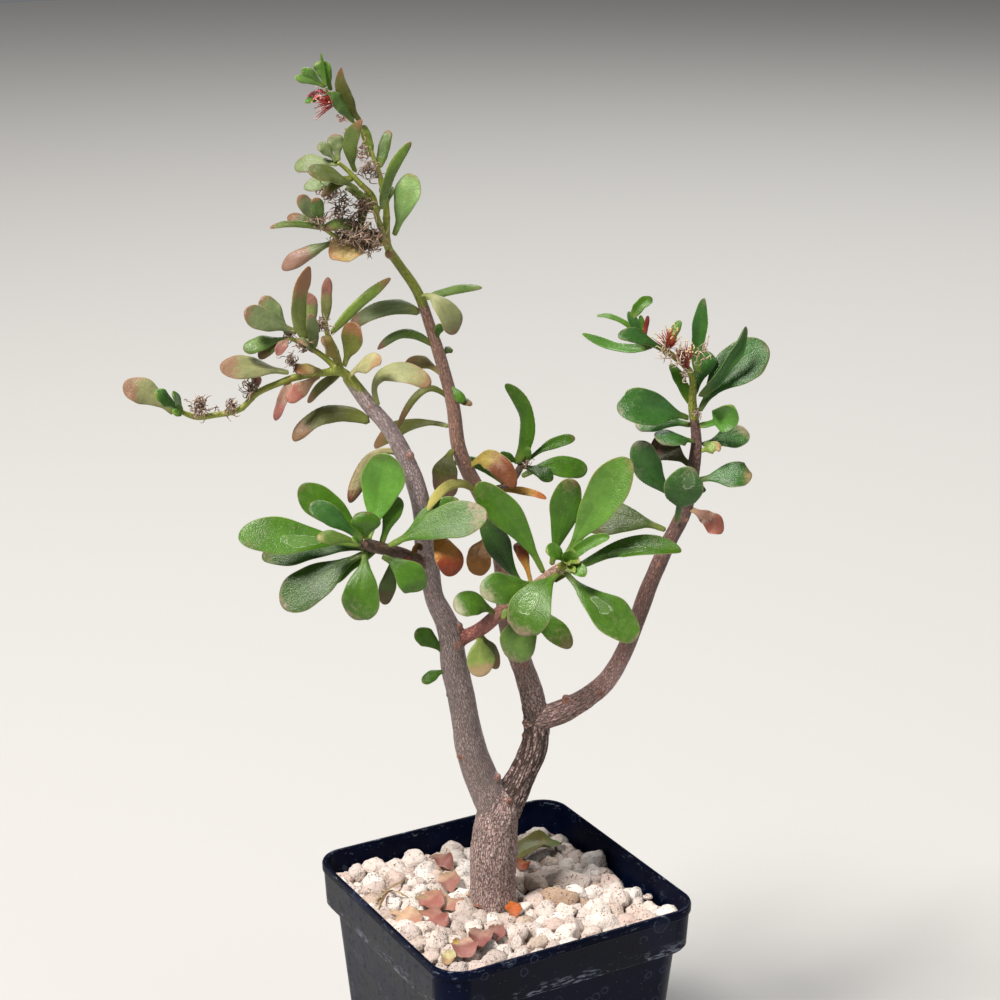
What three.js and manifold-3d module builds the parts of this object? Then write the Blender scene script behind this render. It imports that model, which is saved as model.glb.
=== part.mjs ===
// A branching sedum in a square nursery pot, with pumice over its potting mix.
// Millimetres, +Z up. The pot's underside is centred on the origin.
import * as THREE from 'three';
import { mergeVertices } from 'three/addons/utils/BufferGeometryUtils.js';
import Module from 'manifold-3d';

const wasm = await Module();
wasm.setup();

// ---- driving dimensions ----------------------------------------------------

const GAP = 0.35; // between neighbouring pieces

const pot = {
  side: 90, // outside of the rim
  height: 90,
  corner: 9, // radius of the rim's corners
  wall: 1.2,
  skirtHeight: 15,
  skirtDraw: 0.9, // the skirt draws in a little below the rim
  skirtStep: 2.6, // how far the body is set in below the skirt
  baseSide: 70,
  baseCorner: 5.5,
  footEdge: 1.5, // the slope round the underside
  lip: 0.3, // the slope round the rim's outer edge
  holeRadius: 4,
  holeOffset: 22,
  cornerHoleOffset: 27.5,
};

const soil = {
  mixTop: pot.height - pot.skirtHeight + pot.wall, // level with the shoulder inside the pot
  bedTop: pot.height - 6.5, // at the middle of the pot
  bedSlope: 0.05, // the bed rises towards the pot's front corner
  lump: 1.1, // height of the stones in its surface
  wallRoom: 1.1, // the stones stay this far off the drawn-in skirt
  wallDrop: 1.2, // and sit a little lower beside it
};

const plantFoot = new THREE.Vector3(-4.7, -1.7, pot.height - 7); // the trunk meets the pumice here
const plantTurn = THREE.MathUtils.degToRad(-30); // the crown spreads across the pot's diagonal
const rootDepth = 22;

const ringStep = 5.5; // along the stems
const leafRings = 8;
const leafSides = 8;
const leafThickness = 1.5;
const petioleWidth = 1.8; // at most, and narrower on a narrow leaf

// ---- lofted solids ---------------------------------------------------------

// Joins rings of equal length into one closed solid, with a point at each end.
function loft(rings, start, end) {
  const count = rings[0].length;
  const positions = [];
  const index = [];
  for (const ring of rings) {
    for (const point of ring) positions.push(point.x, point.y, point.z);
  }
  const startIndex = rings.length * count;
  const endIndex = startIndex + 1;
  positions.push(start.x, start.y, start.z, end.x, end.y, end.z);
  for (let r = 0; r < rings.length - 1; r++) {
    for (let k = 0; k < count; k++) {
      const a = r * count + k;
      const b = r * count + ((k + 1) % count);
      index.push(a, b, b + count, a, b + count, a + count);
    }
  }
  const last = (rings.length - 1) * count;
  for (let k = 0; k < count; k++) {
    const next = (k + 1) % count;
    index.push(startIndex, next, k);
    index.push(endIndex, last + k, last + next);
  }
  const geometry = new THREE.BufferGeometry();
  geometry.setAttribute('position', new THREE.Float32BufferAttribute(positions, 3));
  geometry.setIndex(index);
  return geometry;
}

function toManifold(geometry) {
  const bare = geometry.clone();
  bare.deleteAttribute('normal');
  bare.deleteAttribute('uv');
  const merged = mergeVertices(bare, 1e-5);
  const vertProperties = new Float32Array(merged.attributes.position.array);
  const triVerts = new Uint32Array(merged.index.array);
  return new wasm.Manifold(new wasm.Mesh({ numProp: 3, vertProperties, triVerts }));
}

function fromManifold(solid) {
  const mesh = solid.getMesh();
  const geometry = new THREE.BufferGeometry();
  geometry.setAttribute('position', new THREE.BufferAttribute(mesh.vertProperties, 3));
  geometry.setIndex(new THREE.BufferAttribute(mesh.triVerts, 1));
  return geometry;
}

function piece(name, geometry, color, roughness) {
  geometry.computeVertexNormals();
  const material = new THREE.MeshStandardMaterial({ color, roughness, metalness: 0 });
  const mesh = new THREE.Mesh(geometry, material);
  mesh.name = name;
  return mesh;
}

// ---- the square pot --------------------------------------------------------

// A rounded square, anticlockwise from above.
function squareRing(half, corner, z, perCorner = 5) {
  const ring = [];
  for (let quarter = 0; quarter < 4; quarter++) {
    const turn = (quarter * Math.PI) / 2;
    const centre = half - corner;
    const diagonal = turn + Math.PI / 4;
    const x = centre * Math.SQRT2 * Math.cos(diagonal);
    const y = centre * Math.SQRT2 * Math.sin(diagonal);
    for (let k = 0; k <= perCorner; k++) {
      const angle = turn + ((Math.PI / 2) * k) / perCorner;
      ring.push(new THREE.Vector3(x + corner * Math.cos(angle), y + corner * Math.sin(angle), z));
    }
  }
  return ring;
}

const halfSide = pot.side / 2;
const shoulderZ = pot.height - pot.skirtHeight;
const skirtHalf = halfSide - pot.skirtDraw;
const shoulderHalf = skirtHalf - pot.skirtStep;
const baseHalf = pot.baseSide / 2;
const middleCorner = pot.corner - 1.5;
const shoulderCorner = pot.corner - 1;

// Half the outside width of the tapered body at a height.
function bodyHalf(z) {
  return baseHalf + ((shoulderHalf - baseHalf) * z) / shoulderZ;
}

function makePot() {
  const w = pot.wall;
  const outside = [
    squareRing(baseHalf - pot.footEdge, pot.baseCorner, 0),
    squareRing(baseHalf, pot.baseCorner + pot.footEdge, pot.footEdge),
    squareRing(bodyHalf(shoulderZ / 2), middleCorner, shoulderZ / 2),
    squareRing(shoulderHalf, shoulderCorner, shoulderZ),
    squareRing(skirtHalf, pot.corner, shoulderZ),
    squareRing(halfSide - pot.lip, pot.corner, pot.height - 5 * pot.lip),
    squareRing(halfSide, pot.corner, pot.height - 3 * pot.lip),
    squareRing(halfSide - pot.lip, pot.corner, pot.height),
  ];
  const inside = [
    squareRing(halfSide - w, pot.corner - w, pot.height),
    squareRing(skirtHalf - w, pot.corner - w, shoulderZ + w),
    squareRing(shoulderHalf - w, shoulderCorner - w, shoulderZ + w),
    squareRing(bodyHalf(shoulderZ / 2) - w, middleCorner - w, shoulderZ / 2),
    squareRing(bodyHalf(w) - w, pot.baseCorner, w),
  ];
  const underside = new THREE.Vector3(0, 0, 0);
  const floor = new THREE.Vector3(0, 0, w);
  let body = toManifold(loft([...outside, ...inside], underside, floor));
  for (let quarter = 0; quarter < 4; quarter++) {
    for (const [turn, reach] of [[0, pot.holeOffset], [Math.PI / 4, pot.cornerHoleOffset]]) {
      const angle = (quarter * Math.PI) / 2 + turn;
      const drill = new THREE.CylinderGeometry(pot.holeRadius, pot.holeRadius, 6 * w, 16);
      drill.rotateX(Math.PI / 2);
      drill.translate(reach * Math.cos(angle), reach * Math.sin(angle), 0);
      body = body.subtract(toManifold(drill));
    }
  }
  return fromManifold(body);
}

// ---- stems -----------------------------------------------------------------

// Every stem is a list of [x, y, z, radius] in the plant's own frame: x to the right, y away, z up.
const stems = {
  trunk: [
    [0, 0, -rootDepth, 3.4], [0, 0, -12, 6.2], [0, 0, -3, 7.4], [0, 0, 9, 7.2], [0.4, 0, 20, 7.4],
    [1, 0, 28, 7], [2.5, 0, 35, 6.2],
  ],
  leftBranch: [
    [1.5, 0, 31, 5.4], [-4, 0, 45, 5.2], [-7, -2, 56, 4.7], [-8.5, -3, 66, 4.3], [-10, -4, 75, 4.1],
    [-11.5, -5, 83, 4.1], [-13, -6, 95, 3.6], [-17, -7, 105, 3], [-18.5, -8, 114, 3], [-20, -9, 123, 2.8],
    [-20.5, -10, 134, 2.8], [-23.5, -11, 146, 2.7], [-29, -12, 158, 2.4], [-35, -13, 166, 2.2],
    [-41, -14, 175, 1.9],
  ],
  centreBranch: [
    [3, 0, 32, 5.4], [9.5, 2, 45, 4.4], [13, 3, 54, 4.2], [13, 4, 64, 3.9], [10, 5, 76, 3.5], [6, 6, 87, 3.3],
    [3.7, 6, 100, 3], [2.8, 6, 112, 2.7], [0.7, 6, 122, 2.5], [-2.6, 6, 131, 2.4], [-9.5, 6, 146, 2.2],
    [-12, 5, 163, 2], [-17, 3, 182, 1.7], [-21.5, 1, 196, 1.5], [-26.5, 0, 204, 1.4], [-29.5, -1, 208.5, 1.4],
  ],
  rightBranch: [
    [12.5, 3.5, 61, 3.6], [21, 2, 65, 3.7], [28.5, 1, 70, 3.2], [34.5, 0, 76, 2.9], [39, 0, 84, 2.7],
    [43.5, 0, 96, 2.6], [47, 0, 107, 2.5], [51.5, 1, 118, 2.4], [57, 2, 130, 2.3], [59, 2, 141, 2],
    [60, 3, 151, 1.7], [58.5, 3, 162, 1.3], [58, 3, 171, 1.1], [52, 1, 177.5, 1], [44, -2, 182.5, 0.8],
  ],
  redSideShoot: [
    [-12, -5.5, 89, 2.2], [-9, -6, 92, 2.2], [-3, -9, 96.5, 2.2], [4, -13, 104.5, 2], [11, -17, 111, 1.9],
    [18, -21, 118.5, 1.7], [21.5, -25, 122.5, 1.3],
  ],
  leftRosetteShoot: [
    [-18.5, -8.5, 115.5, 1.8], [-25.5, -13, 121, 1.8], [-31, -17, 124, 1.8], [-35.5, -21, 126.5, 1.8],
    [-36.5, -26, 128.5, 1.3],
  ],
  backShoot: [
    [-3, 6.5, 130, 1.4], [-1, 14, 131.5, 1.4], [4.5, 18, 132.5, 1.3], [9, 22, 138, 1.1],
  ],
  tallFlowerStem: [
    [-29.9, -1, 210.3, 1.3], [-30, -1, 221, 1.1], [-31, -1, 227, 1], [-32, -1, 231, 0.9],
    [-33.7, -1, 236, 0.7], [-34.8, -1, 240, 0.65], [-37.7, -2, 244, 0.6], [-41, -3, 247, 0.55],
    [-44.5, -4, 251, 0.5], [-46, -5, 255, 0.45],
  ],
  sideFlowerStem: [
    [-30.2, -2, 211.5, 1.1], [-32.4, -5, 219, 1], [-33.3, -6, 224.5, 0.95], [-37, -8, 229, 0.9],
    [-40.5, -9, 233, 0.75], [-42.7, -10, 235, 0.6],
  ],
  lowFlowerStem: [
    [-30.3, -2.5, 211, 1], [-36, -7, 211, 0.9], [-42, -11, 213.5, 0.8], [-46.5, -14, 217, 0.65],
  ],
  longLeftStem: [
    [-42.5, -14.3, 176.2, 1.4], [-48, -16, 176.3, 1.25], [-55.5, -18, 175.5, 1.2], [-59, -19, 174.5, 1.1],
    [-66, -20, 171.5, 1.05], [-71, -21, 167, 1], [-78.5, -22, 165.5, 1], [-83, -22, 165, 1],
    [-86.5, -23, 166.5, 0.9], [-89.5, -23, 168.5, 0.8],
  ],
  uprightLeftStem: [
    [-43, -14.2, 177, 1.25], [-44.5, -13, 182.5, 1.1], [-46.5, -12, 186.5, 0.9], [-47, -12, 190.5, 0.7],
  ],
  shortLeftStem: [
    [-43.5, -14.6, 177, 1.1], [-48, -16, 181.5, 0.95], [-52.5, -18, 185, 0.85], [-56.5, -20, 187.5, 0.7],
  ],
};

const paths = {};
for (const [name, points] of Object.entries(stems)) {
  const spots = points.map(([x, y, z]) => new THREE.Vector3(x, y, z));
  paths[name] = new THREE.CatmullRomCurve3(spots, false, 'centripetal');
}

// The radius at a share of the stem's length, from the radii of its points.
function radiusAt(name, share) {
  const points = stems[name];
  const curve = paths[name];
  const place = curve.getUtoTmapping(share) * (points.length - 1);
  const low = Math.min(Math.floor(place), points.length - 2);
  return THREE.MathUtils.lerp(points[low][3], points[low + 1][3], place - low);
}

function makeStem(name, sides, bump = 0) {
  const curve = paths[name];
  const steps = Math.max(4, Math.round(curve.getLength() / ringStep));
  const frames = curve.computeFrenetFrames(steps, false);
  const rings = [];
  for (let s = 0; s <= steps; s++) {
    const centre = curve.getPointAt(s / steps);
    const swell = 1 + bump * Math.sin(s * 2.4);
    const radius = radiusAt(name, s / steps) * swell;
    const ring = [];
    for (let k = 0; k < sides; k++) {
      const angle = (2 * Math.PI * k) / sides;
      const point = centre.clone();
      point.addScaledVector(frames.normals[s], radius * Math.cos(angle));
      point.addScaledVector(frames.binormals[s], radius * Math.sin(angle));
      ring.push(point);
    }
    rings.push(ring);
  }
  const first = curve.getPointAt(0).addScaledVector(frames.tangents[0], -0.3 * radiusAt(name, 0));
  const last = curve.getPointAt(1).addScaledVector(frames.tangents[steps], 0.4 * radiusAt(name, 1));
  return loft(rings, first, last);
}

function joinStems(parts) {
  let body = null;
  for (const [name, sides, bump] of parts) {
    const stem = toManifold(makeStem(name, sides, bump));
    body = body ? body.add(stem) : stem;
  }
  return fromManifold(body);
}

// ---- leaves ----------------------------------------------------------------

// Widens smoothly from nothing at the foot to full width at the share called full.
function widening(t, full) {
  return 0.5 - 0.5 * Math.cos((Math.PI * t) / full);
}

// Rounds off from full width at the share called from, over the length called run.
function rounding(t, from, run) {
  return Math.sqrt(1 - Math.max(0, (t - from) / run) ** 2);
}

// Width of the blade, as a share of its widest, at a share of its length.
const outlines = {
  spoon: (t) => (t < 0.7 ? widening(t, 0.7) : rounding(t, 0.7, 0.32)),
  strap: (t) => (t < 0.35 ? 0.35 + 0.65 * Math.sin((Math.PI * t) / 0.7) : rounding(t, 0.6, 0.42)),
  paddle: (t) => (t < 0.4 ? 0 : Math.sqrt(1 - ((t - 0.72) / 0.33) ** 2)),
  lance: (t) => (t < 0.5 ? widening(t, 0.5) : 1 - ((t - 0.5) / 0.56) ** 2.2),
};

// A leaf starts just clear of its stem, reaches to its tip, bows off the straight line between
// them by bow, and turns its upper side towards face.
function makeLeaf({ stem, share, reach, bow, face, width, outline }) {
  const onStem = paths[stem].getPointAt(share);
  const along = paths[stem].getTangentAt(share);
  const tipward = new THREE.Vector3(...reach);
  const outward = tipward.clone().normalize();
  const lean = outward.dot(along);
  outward.addScaledVector(along, -lean).normalize();
  const petiole = Math.min(petioleWidth, 0.3 * width);
  const clear = radiusAt(stem, share) * 1.06 + GAP + 0.15 + (Math.abs(lean) * petiole) / 2;
  const base = onStem.clone().addScaledVector(outward, clear);
  const tip = onStem.clone().add(tipward);
  const middle = base.clone().add(tip).multiplyScalar(0.5).addScaledVector(new THREE.Vector3(...bow), 2);
  const spine = new THREE.QuadraticBezierCurve3(base, middle, tip);
  const facing = new THREE.Vector3(...face).normalize();
  const rings = [];
  for (let r = 0; r < leafRings; r++) {
    const t = 0.02 + (0.96 * r) / (leafRings - 1);
    const centre = spine.getPointAt(t);
    const forward = spine.getTangentAt(t);
    const up = facing.clone().addScaledVector(forward, -facing.dot(forward)).normalize();
    const side = up.clone().cross(forward);
    const stalk = petiole * Math.min(1, 0.5 + 6 * t, 8 - 7.6 * t); // narrower at both ends
    const halfWidth = Math.max(stalk, width * outlines[outline](t)) / 2;
    const halfDepth = (leafThickness / 2) * Math.min(1, halfWidth / 1.4) * (1 - 0.35 * t);
    const ring = [];
    for (let k = 0; k < leafSides; k++) {
      const angle = (2 * Math.PI * k) / leafSides;
      const point = centre.clone();
      point.addScaledVector(side, halfWidth * Math.cos(angle));
      point.addScaledVector(up, halfDepth * Math.sin(angle));
      ring.push(point);
    }
    rings.push(ring);
  }
  return loft(rings, base, tip);
}

const leafColours = { green: 0x5d8a3a, olive: 0x77783a, tan: 0xb39a6b, blush: 0xb98a78, lime: 0x8fae4a };

// Each leaf: stem, share of its length, reach, bow, face, width, outline, colour.
const leaves = {
  left_rosette_leaf: [
    ['leftRosetteShoot', 0.86, [-36, -5, 4], [0, 0, 1], [0, -0.8, 0.6], 11.5, 'spoon', 'green'],
    ['leftRosetteShoot', 0.7, [-34, 6, -5], [0, 0, 1.5], [0, -0.6, 0.8], 10, 'spoon', 'green'],
    ['leftRosetteShoot', 0.78, [-25, -8, -16], [0, 0, 1], [-0.3, -0.8, 0.5], 12, 'spoon', 'green'],
    ['leftRosetteShoot', 0.74, [-21, 4, 17], [-1, 0, 0.5], [-0.2, -0.9, 0.3], 9.5, 'spoon', 'green'],
    ['leftRosetteShoot', 0.84, [5, 5, 26], [1, 3, 0], [0, -1, 0.2], 12.5, 'spoon', 'green'],
    ['leftRosetteShoot', 0.98, [0.8, -1.5, 10.5], [0, -1.5, 0], [0, -1, 0.3], 8.2, 'spoon', 'green'],
    ['leftRosetteShoot', 0.6, [30, -6, 12.5], [0, 0, 1.5], [0, -0.8, 0.6], 11, 'spoon', 'green'],
    ['leftRosetteShoot', 0.52, [20, 1, 15], [0, 0, 0], [0, -0.8, 0.5], 8, 'spoon', 'green'],
    ['leftRosetteShoot', 0.88, [-3, -8, -20], [1, -3, 1], [0, -0.9, 0.4], 11, 'spoon', 'green'],
    ['leftRosetteShoot', 0.62, [10, -4, -12], [2, -2, 1], [0.3, -0.9, 0.2], 9, 'spoon', 'green'],
  ],
  right_rosette_leaf: [
    ['redSideShoot', 0.88, [4.8, 2.5, 27], [0, 1.5, 0], [0, -0.95, 0.3], 9, 'spoon', 'green'],
    ['redSideShoot', 0.97, [18.2, 0, 32], [0, -1, 1], [-0.3, -0.9, 0.3], 11.5, 'spoon', 'green'],
    ['redSideShoot', 0.82, [38, -3, 9], [0, 0, 4], [0, -0.6, 0.8], 7, 'spoon', 'green'],
    ['redSideShoot', 0.94, [22, -10, -17.5], [0, -2, -0.5], [0.3, -0.8, 0.5], 12, 'spoon', 'green'],
    ['redSideShoot', 0.93, [-11.3, -12, -16.3], [-1, -3, 3], [-0.2, -0.8, 0.5], 13, 'spoon', 'green'],
    ['redSideShoot', 0.68, [-6, -7, -19.5], [0, -3, 1], [-0.2, -0.9, 0.2], 11, 'paddle', 'green'],
    ['redSideShoot', 0.74, [-17, -12, 2], [0, -2, 1], [0, -0.8, 0.6], 9.5, 'spoon', 'green'],
    ['redSideShoot', 0.4, [-13, -8, 4], [0, -1, 2.5], [0, -0.8, 0.6], 8, 'spoon', 'green'],
    ['redSideShoot', 0.82, [-21, 3, 27], [1, 0, 2], [-0.3, -0.9, 0.3], 9.5, 'spoon', 'green'],
    ['redSideShoot', 0.64, [-12, 5, 21.5], [-1, 1, 0], [-0.4, -0.8, 0.3], 8, 'spoon', 'olive'],
  ],
  right_branch_leaf: [
    ['rightBranch', 0.53, [-27, 6, 2], [0, 0, 2], [0, -0.85, 0.5], 11, 'spoon', 'green'],
    ['rightBranch', 0.565, [2, -13, 20], [-1, -2, 0], [0, -0.9, 0.5], 11, 'paddle', 'green'],
    ['rightBranch', 0.61, [-15.5, -6, 19.5], [-1, 0, -2], [-0.2, -0.8, 0.5], 8.5, 'spoon', 'green'],
    ['rightBranch', 0.655, [17.5, -2, 1], [2, 0, 1], [0, -0.7, 0.7], 8.5, 'spoon', 'olive'],
    ['rightBranch', 0.735, [-11, -14, 3], [-1, 0, 1], [0, -0.6, 0.8], 8.5, 'spoon', 'green'],
    ['rightBranch', 0.725, [15, 4, 3.5], [2, 0, 0], [0, -0.6, 0.8], 8, 'spoon', 'green'],
    ['rightBranch', 0.765, [10, -8, 8], [1, 0, -1], [0.2, -0.9, 0.4], 8, 'paddle', 'lime'],
    ['rightBranch', 0.785, [-23, -9, 5], [0, -2, 1.5], [0, -0.85, 0.5], 11.5, 'spoon', 'green'],
    ['rightBranch', 0.795, [22.5, 6.5, 16.5], [-1, 2, 2.6], [-0.1, -0.8, 0.6], 13.5, 'spoon', 'green'],
    ['rightBranch', 0.83, [15, 1, 20], [1, 0, -1], [0.5, -0.8, 0], 4, 'strap', 'green'],
    ['rightBranch', 0.87, [3, -1, 23], [0, 0, 0], [-0.6, -0.8, 0], 4.5, 'strap', 'green'],
    ['rightBranch', 0.975, [-21, 4, 2.5], [0, 0, -2.5], [0, -0.7, 0.7], 3, 'strap', 'green'],
  ],
  centre_branch_leaf: [
    ['centreBranch', 0.5, [-5.5, -8, -11], [-0.5, -2, 1], [-0.2, -0.9, 0.3], 7.5, 'spoon', 'tan'],
    ['centreBranch', 0.655, [-3.5, -8, -14], [-1, -3, 2], [-0.2, -0.9, 0.3], 8, 'spoon', 'olive'],
    ['centreBranch', 0.69, [-25, 9, -9], [0, 0, 3.3], [0, -0.5, 0.8], 7, 'spoon', 'olive'],
    ['centreBranch', 0.89, [-21, -6, -4], [0, 0, 3.2], [0, -0.7, 0.7], 5, 'strap', 'blush'],
    ['centreBranch', 0.915, [11, -8, -9.7], [0.5, -2, 3.5], [0.3, -0.7, 0.7], 8, 'spoon', 'tan'],
  ],
  back_shoot_leaf: [
    ['backShoot', 0.97, [-5, 2, 25], [5, 0, 1], [-0.5, -0.8, 0.3], 5, 'strap', 'green'],
    ['backShoot', 0.88, [21, 2, -1], [0, 0, 2.5], [0, -0.8, 0.6], 7, 'spoon', 'green'],
  ],
  left_branch_leaf: [
    ['leftBranch', 0.66, [9, -10, -12], [1, -3, 2], [0.2, -0.9, 0.2], 8, 'spoon', 'tan'],
    ['leftBranch', 0.91, [-23, -8, -6], [-1, 0, 4.5], [0, -0.7, 0.7], 5.5, 'strap', 'olive'],
    ['leftBranch', 0.93, [18, -8, 8], [-5, 0, 6], [0, -0.6, 0.8], 7, 'spoon', 'tan'],
  ],
  left_spray_leaf: [
    ['longLeftStem', 0.99, [-13.5, -4, 7], [0, 0, 1.5], [-0.2, -0.8, 0.6], 7.5, 'spoon', 'blush'],
    ['longLeftStem', 0.3, [-18, -8, 5.5], [0, 0, 0.5], [0, -0.7, 0.7], 7.5, 'spoon', 'blush'],
    ['uprightLeftStem', 0.08, [5.5, -4, 13], [0, 0, 0], [-0.6, -0.8, 0.2], 8, 'spoon', 'olive'],
    ['uprightLeftStem', 0.75, [18, 4, 15], [0, 0, 1], [0.4, -0.8, 0.2], 3, 'strap', 'tan'],
    ['shortLeftStem', 0.76, [3, -3, 22.5], [-2.5, 0, 0], [0.6, -0.8, 0], 5, 'strap', 'blush'],
    ['shortLeftStem', 0.97, [-12, -6, 9], [0, 0, 0], [0, -0.8, 0.6], 7, 'spoon', 'blush'],
  ],
  top_spray_leaf: [
    ['tallFlowerStem', 0.06, [7, 4, 16.5], [0, 0, -1.5], [-0.3, -0.9, 0.3], 8, 'spoon', 'green'],
    ['sideFlowerStem', 0.38, [10.5, -4, 19], [-1.5, -3, 1], [0.5, -0.8, 0.2], 3.2, 'strap', 'lime'],
    ['tallFlowerStem', 0.73, [-3, -6, 16], [-1.5, 0, 0], [-0.5, -0.8, 0.2], 5.3, 'lance', 'olive'],
    ['tallFlowerStem', 0.98, [-1, 0, 8], [0, 0, 0], [-0.3, -0.9, 0.2], 4, 'spoon', 'green'],
    ['sideFlowerStem', 0.7, [-13, -11, 5], [0, 0, 1], [0, -0.6, 0.8], 7, 'spoon', 'green'],
    ['sideFlowerStem', 0.83, [4, -8, 16], [-2, 0, 0], [-0.5, -0.8, 0.1], 5.3, 'lance', 'green'],
  ],
};

// ---- potting mix and pumice ------------------------------------------------

function makeMix() {
  const inset = pot.wall + GAP;
  const bottom = pot.wall + GAP;
  const rings = [
    squareRing(bodyHalf(bottom) - inset, pot.baseCorner, bottom),
    squareRing(bodyHalf(shoulderZ / 2) - inset, middleCorner - pot.wall, shoulderZ / 2),
    squareRing(shoulderHalf - inset, shoulderCorner - pot.wall, soil.mixTop),
  ];
  return loft(rings, new THREE.Vector3(0, 0, bottom), new THREE.Vector3(0, 0, soil.mixTop));
}

// The bed's surface: sloped, and lumpy with the stones' rounded tops.
function bedHeight(x, y) {
  const slope = -soil.bedSlope * (x + y);
  const acrossX = Math.sin(x * 0.93 + 1.7 * Math.sin(y * 0.37));
  const acrossY = Math.sin(y * 0.87 + 1.3 * Math.sin(x * 0.41));
  return soil.bedTop + slope + soil.lump * acrossX * acrossY;
}

function makeBed() {
  const half = halfSide - pot.wall - soil.wallRoom - GAP;
  const corner = pot.corner - pot.wall;
  const bottom = soil.mixTop + GAP;
  const rings = [squareRing(half - soil.wallRoom / 2, corner, bottom, 7)];
  const shares = [1, 0.93, 0.84, 0.74, 0.63, 0.52, 0.41, 0.3, 0.18];
  for (const share of shares) {
    const ring = squareRing(half * share, corner * share, 0, 7);
    const drop = share === 1 ? soil.wallDrop : 0;
    for (const point of ring) point.z = bedHeight(point.x, point.y) - drop;
    rings.push(ring);
  }
  return loft(rings, new THREE.Vector3(0, 0, bottom), new THREE.Vector3(0, 0, bedHeight(0, 0)));
}

// Cuts a clear hole for the foot of the trunk.
function cutForTrunk(geometry) {
  const points = stems.trunk.slice(0, 4).map(([x, y, z, r]) => new THREE.Vector2(r + GAP * 1.8, z));
  const profile = [new THREE.Vector2(0, -rootDepth - 2), new THREE.Vector2(4, -rootDepth - 2), ...points];
  profile.push(new THREE.Vector2(0, points.at(-1).y));
  const socket = new THREE.LatheGeometry(profile, 20);
  socket.rotateX(Math.PI / 2);
  socket.translate(plantFoot.x, plantFoot.y, plantFoot.z);
  return fromManifold(toManifold(geometry).subtract(toManifold(socket)));
}

// ---- assembly --------------------------------------------------------------

const sedum = new THREE.Group();
sedum.name = 'potted_sedum';
sedum.add(piece('nursery_pot', makePot(), 0x17181d, 0.45));
sedum.add(piece('potting_mix', cutForTrunk(makeMix()), 0x3a2a20, 1));
sedum.add(piece('pumice_top_dressing', cutForTrunk(makeBed()), 0xc9bfae, 0.95));

const plant = new THREE.Group();
plant.position.copy(plantFoot);
plant.rotation.z = plantTurn;
sedum.add(plant);

const woodyStems = [
  ['trunk', 14, 0.02], ['leftBranch', 12, 0.04], ['centreBranch', 12, 0.04], ['rightBranch', 10, 0.04],
  ['redSideShoot', 8, 0.06], ['leftRosetteShoot', 8, 0.12], ['backShoot', 8, 0.05],
];
const topStems = [['tallFlowerStem', 8, 0.03], ['sideFlowerStem', 8, 0.03], ['lowFlowerStem', 8, 0.03]];
const leftStems = [['longLeftStem', 8, 0.03], ['uprightLeftStem', 8, 0.03], ['shortLeftStem', 8, 0.03]];
plant.add(piece('woody_stem', joinStems(woodyStems), 0x7d675f, 0.8));
plant.add(piece('top_flower_stems', joinStems(topStems), 0x8a9440, 0.6));
plant.add(piece('left_flower_stems', joinStems(leftStems), 0x8a9440, 0.6));

for (const [group, rows] of Object.entries(leaves)) {
  rows.forEach(([stem, share, reach, bow, face, width, outline, colour], number) => {
    const leaf = makeLeaf({ stem, share, reach, bow, face, width, outline });
    plant.add(piece(`${group}_${number + 1}`, leaf, leafColours[colour], 0.5));
  });
}

export default sedum;
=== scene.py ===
import bmesh
import bpy
import math
import random
import numpy as np
from mathutils import Matrix, Vector, noise


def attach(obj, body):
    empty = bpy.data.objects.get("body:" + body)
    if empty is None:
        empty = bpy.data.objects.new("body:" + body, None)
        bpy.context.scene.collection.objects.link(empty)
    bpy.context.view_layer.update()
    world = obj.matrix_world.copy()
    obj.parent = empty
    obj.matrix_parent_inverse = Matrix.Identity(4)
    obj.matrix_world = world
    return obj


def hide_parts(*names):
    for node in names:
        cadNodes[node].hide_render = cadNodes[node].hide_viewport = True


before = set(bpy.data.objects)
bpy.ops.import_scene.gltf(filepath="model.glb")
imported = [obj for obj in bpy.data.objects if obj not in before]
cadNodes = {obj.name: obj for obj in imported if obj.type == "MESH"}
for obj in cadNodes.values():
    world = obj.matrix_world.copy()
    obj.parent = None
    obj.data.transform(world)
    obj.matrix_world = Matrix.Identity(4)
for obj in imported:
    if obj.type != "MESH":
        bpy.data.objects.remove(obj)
bpy.context.view_layer.update()
mm = 0.001
bpy.ops.object.select_all(action="DESELECT")

# where the plant stands: x runs right, y away and z up from the trunk's foot, in mm
plantStand = {"foot": (-4.7, -1.7, 83.0), "turn": -30.0}


def turned(directions):
    rows = np.atleast_2d(np.asarray(directions, float))
    angle = math.radians(plantStand["turn"])
    c, s = math.cos(angle), math.sin(angle)
    return np.column_stack((rows[:, 0] * c - rows[:, 1] * s, rows[:, 0] * s + rows[:, 1] * c, rows[:, 2]))


def placed(points):
    return (turned(points) + plantStand["foot"]) * mm


def unit(rows):
    return rows / np.maximum(np.linalg.norm(rows, axis=-1, keepdims=True), 1e-9)


def smoothStep(value, low, high):
    share = np.clip((value - low) / (high - low), 0, 1)
    return share * share * (3 - 2 * share)


def roundEnd(t, start):
    # 1 up to start, then a quarter circle down to 0 at 1
    return np.sqrt(np.clip(1 - np.maximum(0, (t - start) / (1 - start)) ** 2, 0, 1))


def tint(code):
    parts = [int(code[i : i + 2], 16) / 255 for i in (0, 2, 4)]
    linear = [p / 12.92 if p <= 0.04045 else ((p + 0.055) / 1.055) ** 2.4 for p in parts]
    return (*linear, 1.0)


def rgb(code):
    return np.array(tint(code)[:3])


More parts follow.
